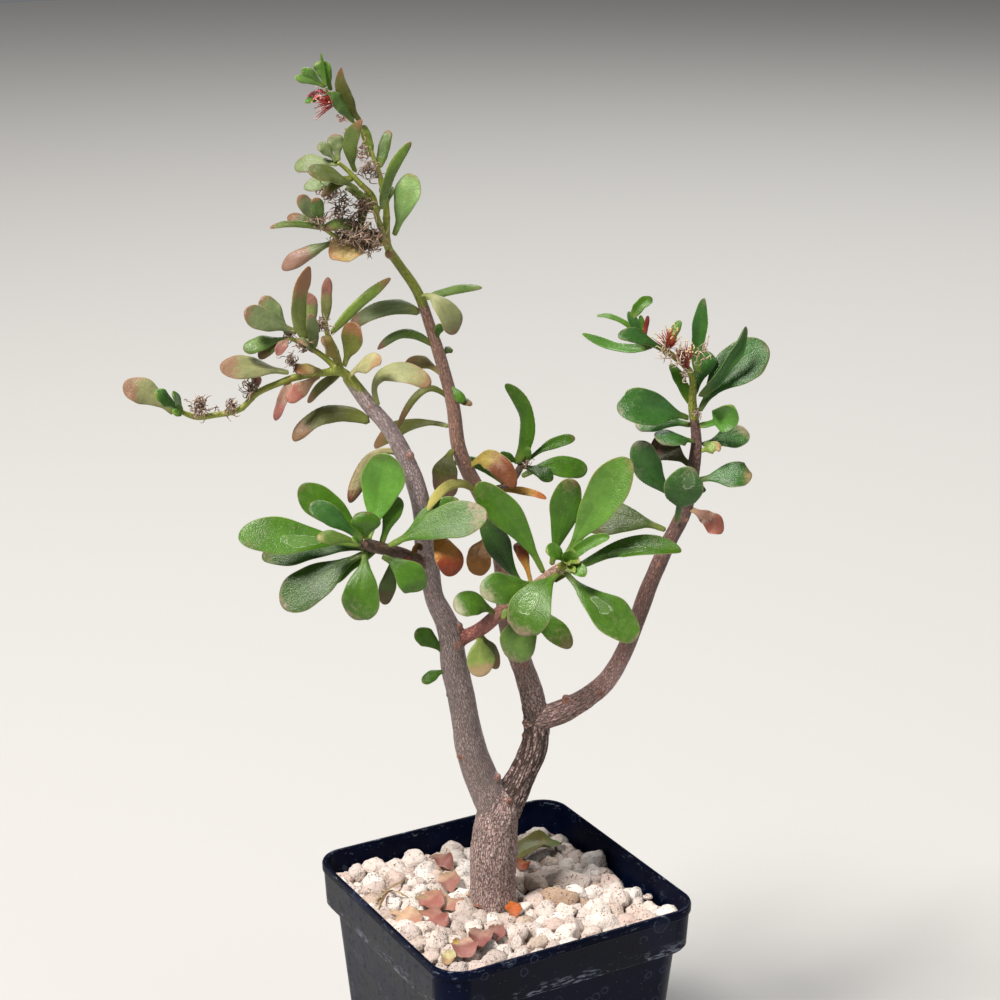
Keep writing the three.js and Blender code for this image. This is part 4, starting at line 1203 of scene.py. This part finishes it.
flowerHeads = {
    "open": [  # foot, way, how far the filaments stray, length, number, colours at foot and tip, anther
        ((50.6, -2, 180), (0, -0.25, 1), 0.62, 6.4, 38, "6e1f17", "a8452f", "d9c27a"),
        ((55.9, -3, 174.4), (-0.12, -0.25, 1), 0.5, 7.6, 40, "6e1f17", "9c5238", "dcc59c"),
        ((-43.2, -5, 251), (-0.85, -0.35, 0.02), 0.5, 6.8, 34, "7c1a18", "b8433a", "dca597"),
    ],
    "dried": [  # middle, how far the tangle spreads, number, colours at foot and tip
        ((54.2, -3.6, 178.4), 3.4, 18, "8a6a54", "e2d2bc"),
        ((49.5, -4.6, 179.6), 2.6, 10, "9a7a62", "e2d2bc"),
        ((60.5, -3.6, 179), 2.8, 11, "9a7a62", "e2d2bc"),
        ((55.5, -3.5, 172.6), 2.0, 12, "9a7a62", "e2d2bc"), ((59.7, 0, 160.3), 1.6, 14, "7a604e", "c9b09c"),
        ((10, 20.5, 138.5), 1.8, 16, "7a604e", "c3a98e"),
        ((-36.6, -4.5, 237.2), 2.3, 22, "66493a", "d0b4a2"),
        ((-34.4, -7.5, 232), 3.0, 34, "5a3f30", "cbb09a"),
        ((-44.8, -10.5, 227.2), 2.9, 34, "5a3f30", "bda28a"),
        ((-41, -9.5, 225.2), 2.2, 18, "5a3f30", "bda28a"),
        ((-42.3, -10.5, 221.6), 2.9, 30, "4d3428", "bda28a"),
        ((-35.4, -9, 222.3), 3.2, 34, "4d3428", "b2967e"), ((-38.6, -9, 218), 2.6, 26, "4d3428", "b2967e"),
        ((-37, -10.5, 214.6), 4.0, 56, "54392b", "ccb29c"),
        ((-32.8, -7.5, 214), 3.0, 42, "4d3428", "b2967e"),
        ((-41.6, -11.5, 215), 3.2, 40, "54392b", "ccb29c"),
        ((-35, -10, 211.6), 2.8, 34, "4d3428", "b2967e"),
        ((-47.8, -15, 219.6), 2.5, 26, "5a3f30", "c4a890"),
        ((-41.7, -4.5, 246.5), 1.5, 12, "b88070", "e6c0b4"),
        ((-39.6, -3.5, 242.6), 1.4, 11, "b88070", "e6c0b4"),
        ((-56.4, -19, 188.4), 1.9, 20, "4d3428", "b2967e"),
        ((-52.2, -19.5, 185.2), 2.5, 32, "4d3428", "b2967e"),
        ((-47.5, -17, 190.6), 2.5, 30, "54392b", "c4ab94"),
        ((-56, -20.5, 180.8), 2.3, 28, "4d3428", "b2967e"),
        ((-67.6, -22.5, 173.8), 2.7, 36, "54392b", "c4ab94"),
        ((-73, -24, 168.6), 2.3, 30, "4d3428", "b2967e"),
        ((-82, -24.5, 168.4), 3.0, 44, "54392b", "c4ab94"), ((-77.4, -24, 168), 1.4, 6, "54392b", "c4ab94"),
    ],
    "thread": 0.115, "filament": 0.15, "anther": 0.26,  # radii in mm
}
flowerRandom = random.Random(19)


def anyWay(spread=1.0):
    return np.array([flowerRandom.gauss(0, spread) for _ in range(3)])


def anyRadius(kind):
    return flowerHeads[kind] * flowerRandom.uniform(0.8, 1.25)


def filament(foot, way, stray, length, footTint, tipTint):
    heading = unit(unit(np.array(way, float)) + anyWay(stray * 0.6))
    bend, spot, line = anyWay(0.05), np.array(foot, float) + anyWay(0.35), []
    for _ in range(strandForm["steps"]):
        line.append(spot)
        spot = spot + heading * length / (strandForm["steps"] - 1)
        heading = unit(heading + bend)
    return line, anyRadius("filament"), 1.3, rgb(footTint), rgb(tipTint) * flowerRandom.uniform(0.8, 1.2)


def driedThread(middle, spread, footTint, tipTint):
    middle = np.array(middle, float)
    spot, heading = middle + anyWay(spread * 0.3), anyWay()
    length = spread * flowerRandom.uniform(1.2, 2.4)
    line = []
    for _ in range(strandForm["steps"]):
        line.append(spot)
        heading = unit(heading)
        spot = spot + heading * length / (strandForm["steps"] - 1)
        heading = heading + anyWay(0.5) + (middle - spot) / spread * 0.28  # it curls back into the tangle
    return line, anyRadius("thread"), 1.8, rgb(footTint), rgb(tipTint) * flowerRandom.uniform(0.6, 1.15)


filaments = []
for foot, way, stray, length, number, footTint, tipTint, anther in flowerHeads["open"]:
    for _ in range(number):
        strand = filament(foot, way, stray, length * flowerRandom.uniform(0.65, 1.08), footTint, tipTint)
        filaments.append(strand)
        end, ahead = strand[0][-1], unit(strand[0][-1] - strand[0][-2])
        if flowerRandom.random() < 0.7:
            speck = [end, end + ahead * 0.55]
            filaments.append((speck, flowerHeads["anther"], 1.0, rgb(anther), rgb(anther)))
dress(strandMesh("open_flowers", filaments), strandFinish("flower_filaments", 0.5), "blushed_leaf")
threads = [driedThread(*head[:2], *head[3:]) for head in flowerHeads["dried"] for _ in range(head[2])]
dress(strandMesh("dried_flowers", threads), strandFinish("dried_threads", 0.75), "withering_leaf")
print(len(filaments), "filaments and anthers,", len(threads), "dried threads")

# the pot

potForm = {  # height and half width in mm, from the foot up the outside and down the inside
    "side": 70.0, "corner": 7.0,
    "outside": [
        (0, 33.6), (0.6, 34.6), (1.8, 35.05), (36, 38.1), (74.4, 41.25), (75, 41.5), (75, 43.6),
        (75.7, 44.05), (86.6, 44.55), (87.2, 44.95), (89.2, 45.0),
    ],
    "rim": [(89.85, 44.75), (90, 44.35), (89.85, 43.95)],
    "inside": [
        (89.0, 43.65), (76.9, 42.95), (76.3, 42.6), (76.1, 40.4), (75.2, 40.0), (36, 36.9), (2.0, 34.0),
        (1.25, 33.2),
    ],
    "holes": [(22, 0), (27.5, 45)],  # distance from the middle, and turn
    "holeRadius": 4.0, "drillDepth": 8.0,
}


def makePot(name):
    pot = added(bpy.ops.mesh.primitive_plane_add, name, size=potForm["side"] * mm)
    bpy.ops.object.mode_set(mode="EDIT")
    bpy.ops.mesh.select_all(action="SELECT")
    bpy.ops.mesh.bevel(offset=potForm["corner"] * mm, segments=14, affect="VERTICES")
    bpy.ops.mesh.select_all(action="SELECT")
    height, half = 0, potForm["side"] / 2
    for z, wide in potForm["outside"] + potForm["rim"] + potForm["inside"]:
        if z > 0:
            bpy.ops.mesh.extrude_region_move(TRANSFORM_OT_translate={"value": (0, 0, (z - height) * mm)})
        bpy.ops.transform.resize(value=(wide / half, wide / half, 1), center_override=(0, 0, z * mm))
        height, half = z, wide
    bpy.ops.mesh.select_all(action="SELECT")
    bpy.ops.mesh.remove_doubles(threshold=1e-6)
    bpy.ops.mesh.normals_make_consistent(inside=False)
    bpy.ops.object.mode_set(mode="OBJECT")
    drills = []
    for reach, turn in potForm["holes"]:
        for quarter in range(4):
            angle = math.radians(turn + 90 * quarter)
            drill = added(
                bpy.ops.mesh.primitive_cylinder_add, vertices=40, radius=potForm["holeRadius"] * mm,
                depth=potForm["drillDepth"] * mm,
                location=(reach * mm * math.cos(angle), reach * mm * math.sin(angle), 0),
            )
            drills.append(settle(drill))
    drill = joined("drill", drills)
    applied(pot, ("BOOLEAN", {"operation": "DIFFERENCE", "solver": "EXACT", "object": drill}))
    bpy.data.objects.remove(drill)
    only(pot)
    bpy.ops.object.shade_smooth_by_angle(angle=math.radians(32))
    return pot


def potFinish(name):
    f = Finish(name)
    place = f.place()
    x, y, z = f.split(place)
    fine = f.cloud(place, 2200, 3, 0.6)
    wide = f.cloud(place, 60, 3, 0.6)
    dust = f.cloud(place, 420, 4, 0.65)
    scratch = f.cloud(f.stretched(place, 300, 300, 1500), 1.0, 3, 0.7)
    bent = f.vectors("MULTIPLY_ADD", dust.other(1), (0.0016, 0.0016, 0.0016), place)
    drops, smallDrops = f.cells(bent, 95), f.cells(bent, 230)
    chosen = f.step(f.split(drops.other(1))[0], 0.7, 0.74)
    smallChosen = f.step(f.split(smallDrops.other(1))[1], 0.84, 0.88)
    ring = f.step(drops, 0.20, 0.24) * f.step(drops, 0.31, 0.26) * chosen * f.step(dust, 0.4, 0.58)
    haze = f.step(drops, 0.26, 0.16) * chosen
    smallRing = f.step(smallDrops, 0.22, 0.27) * f.step(smallDrops, 0.38, 0.31) * smallChosen
    grit = f.step(f.cells(place, 520), 0.1, 0.04)
    ledge = f.step(z, 0.0735, 0.075) * f.step(z, 0.080, 0.0765)
    lip = f.step(z, 0.0868, 0.0882)
    worn = f.step(x + y, 0.02, -0.03)  # the near left side has been rubbed most
    scuff = f.step(scratch + (wide - 0.5) * 0.5 + worn * 0.06, 0.58, 0.68)
    colour = f.paint(
        tint("020616"),
        (f.step(wide, 0.3, 0.7), "060d24"),
        (f.step(dust, 0.56, 0.8) * 0.06, "444c60"),
        (ring * 0.15 + smallRing * 0.1 + haze * 0.025, "7884a0"),
        (grit * 0.25, "a2a8b8"),
        # pale scuffs along the ledge; along the lip the pale patches are scuffs and painted highlight on the
        # rim's edge
        (ledge * scuff * 0.4 + lip * f.step(scratch, 0.6, 0.7) * 0.3, "a4acbc"),
    )
    rough = 0.3 + (wide - 0.5) * 0.15 + ring * 0.2 + f.step(dust, 0.5, 0.8) * 0.2 + (fine - 0.5) * 0.1
    height = fine * 0.4 + scratch * 0.2 + ring * 0.5
    return f.done(colour, rough, height, 0.00008, 0.5, Specular_IOR_Level=0.05)


pot = makePot("nursery_pot_shell")
dress(pot, potFinish("black_pot_plastic"), "pot_plastic", "nursery_pot")
print("pot", len(pot.data.polygons), "faces")


def mixFinish(name):
    f = Finish(name)
    crumbs = f.cells(f.place(), 420)
    grit = f.cloud(f.place(), 900, 4, 0.7)
    fibre = f.cloud(f.stretched(f.place(), 1400, 1400, 300), 1.0, 3, 0.6)
    colour = f.paint(
        tint("3a2a20"),
        (f.step(crumbs, 0.15, 0.6), "1d140f"),
        (f.step(grit, 0.62, 0.74), "8d7f70"),
        (f.step(fibre, 0.64, 0.72) * 0.7, "6b4a30"),
    )
    return f.done(colour, 0.9 + (grit - 0.5) * 0.1, grit + crumbs, 0.001, 0.9)


# the potting mix keeps its frame solid, with a crumbly finish
cadNodes["potting_mix"].data.materials.clear()
cadNodes["potting_mix"].data.materials.append(mixFinish("crumbly_mix"))

# the pumice

bedForm = {
    "top": 83.5, "slope": 0.05, "half": 42.6, "corner": 7.6, "below": 3.6, "floor": 76.6, "inset": 0.3,
    "squares": 84, "lump": 0.9,
}
stoneForms = {  # how the few stones are cut that all the others are copies of
    "count": 10, "cuts": 6, "depth": (0.66, 0.88), "voxel": 0.17, "kept": 0.3, "lump": 0.24, "pit": 0.11,
}
stoneLayers = [  # stones, smallest and largest radius, how far their middles lie under the bed's top
    {"count": 210, "small": 2.8, "large": 4.4, "under": 4.4, "spread": 0.8, "seed": 5},
    {"count": 185, "small": 2.9, "large": 5.0, "under": 1.3, "spread": 1.2, "seed": 11},
    {"count": 110, "small": 1.3, "large": 2.3, "under": 0.6, "spread": 0.8, "seed": 23},
]
setStones = [  # larger stones: x, y, half sizes, turn, and how white or tan they are
    (24, -1, 8.4, 4.6, 4.4, -40, 0.0), (14, -10.5, 8.0, 4.2, 4.2, -38, 1.0),
    (39, 8.5, 5.4, 5.0, 4.8, 10, 0.1), (34, 36, 5.0, 4.2, 3.8, 0, 0.3),
    (3, 39, 4.8, 4.0, 3.8, 20, 0.2), (-25, 26, 4.8, 4.0, 3.8, 80, 0.3),
    (-35, 22, 4.8, 3.6, 3.4, 0, 0.5), (-35, -20, 5.0, 4.0, 3.8, 30, 0.1),
    (-39, -12, 4.6, 3.6, 3.6, 70, 0.2), (17, -31, 6.8, 3.6, 3.6, -38, 0.0),
    (-10, -25, 4.8, 3.8, 3.8, 15, 0.1), (31, -20, 4.8, 3.8, 3.8, 60, 0.1),
]


def bedTop(x, y):
    return bedForm["top"] - bedForm["slope"] * (x + y)


def rounded(flat, half):
    # x and y rows pulled in from a square's corners to its round ones
    core = half - bedForm["corner"]
    middle = np.clip(flat, -core, core)
    out = np.linalg.norm(flat - middle, axis=1)
    return middle + (flat - middle) * np.minimum(1, bedForm["corner"] / np.maximum(out, 1e-6))[:, None]


def stoneForm(number):
    stone = added(bpy.ops.mesh.primitive_ico_sphere_add, subdivisions=3, radius=1)
    rng = random.Random(300 + number)
    bpy.ops.object.mode_set(mode="EDIT")
    for _ in range(stoneForms["cuts"]):
        way = Vector([rng.gauss(0, 1) for _ in range(3)]).normalized()
        spot = way * rng.uniform(*stoneForms["depth"])
        bpy.ops.mesh.select_all(action="SELECT")
        bpy.ops.mesh.bisect(plane_co=spot, plane_no=way, use_fill=True, clear_outer=True)
    bpy.ops.object.mode_set(mode="OBJECT")
    applied(
        stone,
        ("REMESH", {"mode": "VOXEL", "voxel_size": stoneForms["voxel"]}),
        ("SMOOTH", {"factor": 0.5, "iterations": 1}),
        ("DECIMATE", {"ratio": stoneForms["kept"]}),
    )
    spots = pointsOf(stone.data)
    for i, spot in enumerate(spots):
        lump = noise.noise(Vector(spot * 1.6) + Vector((number * 5.1, 0, 0)))
        pit = noise.noise(Vector(spot * 3.9) + Vector((0, number * 3.3, 0)))
        spots[i] = spot * (1 + stoneForms["lump"] * lump + stoneForms["pit"] * pit)
    stone.data.calc_loop_triangles()
    faces = np.array([t.vertices[:] for t in stone.data.loop_triangles])
    bpy.data.objects.remove(stone)
    return spots / np.abs(spots).max(axis=0), faces


def pushedOff(x, y, fromX, fromY, room):
    # x and y moved straight away from a spot until each has its room
    away = np.hypot(x - fromX, y - fromY) + 1e-6
    shove = np.clip(room - away, 0, None)
    return x + shove * (x - fromX) / away, y + shove * (y - fromY) / away


def spreadStones(layer, rng):
    # the stones of a layer push each other apart, off the larger stones, the trunk and the wall
    count = layer["count"]
    radius = rng.uniform(layer["small"], layer["large"], count)
    x, y = rng.uniform(-41, 41, count), rng.uniform(-41, 41, count)
    for _ in range(70):
        dx, dy = x[:, None] - x[None], y[:, None] - y[None]
        gap = np.hypot(dx, dy) + 1e-6
        push = np.clip(0.86 * (radius[:, None] + radius[None]) - gap, 0, None) * 0.28
        np.fill_diagonal(push, 0)
        x, y = x + (push * dx / gap).sum(axis=1), y + (push * dy / gap).sum(axis=1)
        for sx, sy, a, b, *rest in setStones if layer["under"] < 3 else []:
            x, y = pushedOff(x, y, sx, sy, (a + b) / 2 * 0.85 + radius * 0.6)
        x, y = pushedOff(x, y, *plantStand["foot"][:2], 7.2 + radius * 0.75)
        limit, core = bedForm["half"] - radius * 0.95, bedForm["half"] - bedForm["corner"]
        x, y = np.clip(x, -limit, limit), np.clip(y, -limit, limit)
        cx, cy = np.clip(x, -core, core), np.clip(y, -core, core)
        out = np.hypot(x - cx, y - cy)
        room = np.maximum(bedForm["corner"] - radius * 0.95, 0.5)
        inCorner = (out > room) & (np.abs(x) > core) & (np.abs(y) > core)
        back = np.where(inCorner, room / np.maximum(out, 1e-6), 1)
        x, y = cx + (x - cx) * back, cy + (y - cy) * back
    return x, y, radius


def scatterStones():
    stones = []
    for x, y, a, b, c, turn, lot in setStones:
        stones.append((x, y, bedTop(x, y) + 0.1 * c, (a, b, c), turn, 0.1, lot))
    for layer in stoneLayers:
        rng = np.random.default_rng(layer["seed"])
        for x, y, r in zip(*spreadStones(layer, rng)):
            sizes = (r * rng.uniform(0.95, 1.3), r * rng.uniform(0.8, 1.05), r * rng.uniform(0.65, 0.9))
            z = bedTop(x, y) - layer["under"] + rng.uniform(-1, 1) * layer["spread"]
            stones.append((x, y, z, sizes, rng.uniform(0, 360), rng.uniform(0, 0.6), rng.uniform(0, 0.95)))
    return stones


def stoneMesh(name, stones, forms, seed):
    rng = random.Random(seed)
    points, faces, tints, count = [], [], [], 0
    for x, y, z, sizes, turn, tilt, lot in stones:
        spots, triangles = forms[rng.randrange(len(forms))]
        tilted = Matrix.Rotation(tilt * rng.choice((-1, 1)), 3, "X")
        spin = Matrix.Rotation(math.radians(turn), 3, "Z") @ tilted
        flip = Matrix.Rotation(rng.choice((0, math.pi)), 3, "X")
        spots = ((spots @ np.array(flip).T) * np.array(sizes)) @ np.array(spin).T + (x, y, z)
        spots[:, :2] = rounded(spots[:, :2], bedForm["half"])  # pressed flat against the wall of the pot
        points.append(spots * mm)
        faces.append(triangles + count)
        count += len(spots)
        tints.append(np.repeat([[rng.random(), lot, rng.random()]], len(spots), axis=0))
    piece = meshPiece(name, np.vstack(points), np.vstack(faces))
    setAttribute(piece.data, "stone", np.vstack(tints))
    return piece


def pumiceFinish(name):
    f = Finish(name)
    shade, warm, lot = f.values("stone")
    place = f.vectors("ADD", f.place(), f.attribute("stone").other(1))
    fine = f.cloud(place, 1500, 4, 0.65)
    wide = f.cloud(place, 330, 3, 0.6)
    streak = f.cloud(f.stretched(place, 900, 260, 500), 1.0, 3, 0.6)
    pit = f.step(f.cells(place, 1000), 0.32, 0.12) * f.step(wide, 0.42, 0.58)
    pore = f.step(f.cells(place, 2400), 0.26, 0.1) * f.step(fine, 0.45, 0.55)
    colour = f.paint(
        tint("c2b3aa"),
        (f.step(shade, 0.0, 1.0), "e6dfd7"),
        (f.step(lot, 0.55, 1.0) * 0.45, "d2b4a6"),
        (f.step(warm, 0.72, 0.98) * 0.75, "a98a6c"),
        (f.step(wide, 0.46, 0.72) * 0.4, "c4a797"),
        (f.step(streak, 0.56, 0.7) * 0.35, "ab8d78"),
        (f.step(fine, 0.55, 0.72) * 0.3, "f6f0e6"),
        (pit * 0.55 + pore * 0.35, "705643"),
    )
    height = fine * 0.6 + wide * 0.8 - pit - pore * 0.5
    return f.done(colour, 0.92 + (fine - 0.5) * 0.1, height, 0.0011, Specular_IOR_Level=0.2)


def makeBed(name):
    # a slab with round corners and a lumpy top, just under the stones; its dark mix shows in the gaps between
    # them, partly as mix and partly as painted shade
    half = bedForm["half"] - bedForm["inset"]
    grid = {"x_subdivisions": bedForm["squares"], "y_subdivisions": bedForm["squares"], "size": 2 * half * mm}
    bed = added(bpy.ops.mesh.primitive_grid_add, name, **grid)
    bpy.ops.object.mode_set(mode="EDIT")
    bpy.ops.mesh.select_all(action="SELECT")
    bpy.ops.mesh.extrude_region_move(TRANSFORM_OT_translate={"value": (0, 0, 5 * mm)})
    bpy.ops.mesh.select_all(action="SELECT")
    bpy.ops.mesh.normals_make_consistent(inside=False)
    bpy.ops.object.mode_set(mode="OBJECT")
    spots = pointsOf(bed.data) / mm
    share = np.abs(spots[:, :2]).max(axis=1) / half
    way = unit(spots[:, :2])
    edge = rounded(way * (half / np.maximum(np.abs(way).max(axis=1), 1e-6))[:, None], half)
    spots[:, :2] = edge * share[:, None]
    for spot in spots:
        lump = noise.noise(Vector((spot[0] * 0.5, spot[1] * 0.5, 3)))
        top = bedTop(spot[0], spot[1]) - bedForm["below"] + bedForm["lump"] * lump
        spot[2] = top if spot[2] > 2 else bedForm["floor"]
    setPoints(bed.data, spots * mm)
    bed.data.shade_smooth()
    return bed


forms = [stoneForm(number) for number in range(stoneForms["count"])]
stones = scatterStones()
quarters = {"left": [], "front": [], "right": [], "back": []}
for stone in stones:
    sides = ("left", "back") if stone[1] > 0 else ("front", "right")
    quarters[sides[int(stone[0] > 0)]].append(stone)
pumice = pumiceFinish("pitted_pumice")
for number, (side, members) in enumerate(quarters.items()):
    piece = stoneMesh("pumice_stones_" + side, members, forms, 40 + number)
    dress(piece, pumice, "pumice", *(["pumice_top_dressing"] if number == 0 else []))
# the dark bed between the stones: the mix itself and painted shade in the gaps
dress(makeBed("gritty_bed_and_gap_shade"), mixFinish("gap_shade_and_bed_mix"), "pumice")
print(len(stones), "stones,", sum(len(f[1]) for f in forms) // len(forms), "faces each")

# what has fallen on the pumice

fallenForm = {"plump": 0.32, "dust": 0.8, "wave": 1.1, "blotch": 0.6}
fallenLeaves = [  # kind, foot and tip in the frame's mm above the bed, lift in the middle and width
    leaf("paddle pink", (-7, 36, 1.2), (-6.5, 24, 1.6), 2.0, 6.5, curl=0.8, body="a87f70"),
    leaf("spoon pink", (-9, 24, 0.8), (-14, 8, 1.8), 1.6, 7.0, curl=0.6, body="b3917a"),
    leaf("teardrop pink", (-22, 14, 0.8), (-25, -3, 2.0), 1.2, 8.5, curl=0.4, body="a67a68", tip="8c5048"),
    leaf("paddle tan", (-17, 8, 1.4), (-20, -4, 1.6), 0.8, 8.5, body="b3917a", tip="96604f", edge=0.9),
    leaf(
        "paddle tan", (-10, 6, 1.0), (-9.5, -6, 1.4), 1.0, 8.2, body="b58c6e", tip="8a4c42", start=0.6,
        edge=0,
    ),
    leaf("paddle tan", (-38, 6, 0.8), (-34, -8, 1.6), 0.8, 8.0, body="b8967a", tip="9c6c58"),
    leaf("teardrop pink", (-30, 2, 0.8), (-27, -12, 1.2), 0.8, 8.0, body="9c6a5c", tip="844c44"),
    leaf("paddle pink", (-30, -22, 1.4), (-32, -36, 2.2), 1.6, 8.5, body="b08c7c", tip="8c5450", curl=0.6),
    leaf("teardrop pink", (-18, -20, 1.0), (-27, -32, 1.8), 1.8, 8.0, body="a07a6e", tip="844a48", curl=0.7),
    leaf("spoon pink", (-13, -18, 1.0), (-19, -29, 1.6), 1.0, 6.0, curl=0.6, body="946860"),
    leaf("paddle cream", (-35, -28, 1.6), (-39, -36, 1.4), 1.0, 5.0, curl=0.6),
    leaf("lance amber", (-2.5, -8.5, 2.8), (-5, -17, 1.4), 0.6, 5.4, body="b4581e", tip="9c4418", start=0.8),
    leaf(
        "strap olive", (14, 22, 0.6), (37, 26, 1.8), 2.4, 8.5, body="6d6430", tip="4f6826", curl=0.8,
        plump=0.8,
    ),
    leaf("spoon amber", (21, 20, 0.4), (14, 14, 1.2), 0.8, 5.5, body="9a5a28", curl=0.7),
    leaf("strap lime", (13, 40, -0.5), (16.5, 42, 4.5), 0.4, 2.0),
    leaf("spoon fresh", (-23, 9, 1.6), (-27, 6, 2.2), 0.6, 3.2, body="6d8c38"),
    leaf("spoon yellow", (-31, -30, 2.0), (-33, -27, 3.2), 0.4, 2.6, curl=0.8),
    leaf("strap tan", (-38, 14, 1.0), (-20, 24, 1.4), 1.4, 0.8, body="a88a68"),
    leaf("strap tan", (-34, 20, 1.2), (-28, 10, 1.6), 1.2, 0.7, body="b89a78"),
    leaf("strap brown", (-40, 8, 1.0), (-30, 17, 2.2), 1.6, 0.7),
]


def fallenLeaf(foot, tip, lift, width, outline, look, form, seed):
    start, end = (np.array((x, y, bedTop(x, y) + z)) * mm for x, y, z in (foot, tip))
    middle = (start + end) / 2 + np.array((0, 0, lift * 2 * mm))
    line, form = arched(start, middle, end), {**fallenForm, **form}
    return shapeLeaf("part", line, facing((-0.2, -0.25, 1.0)), width, outline, look, form, seed, "small")


joinBySlot("fallen_leaves", [fallenLeaf(*row, 700 + number) for number, row in enumerate(fallenLeaves)])
for blank in blanks.values():
    bpy.data.objects.remove(blank["piece"])
print("fallen leaves are laid")

bpy.context.view_layer.update()
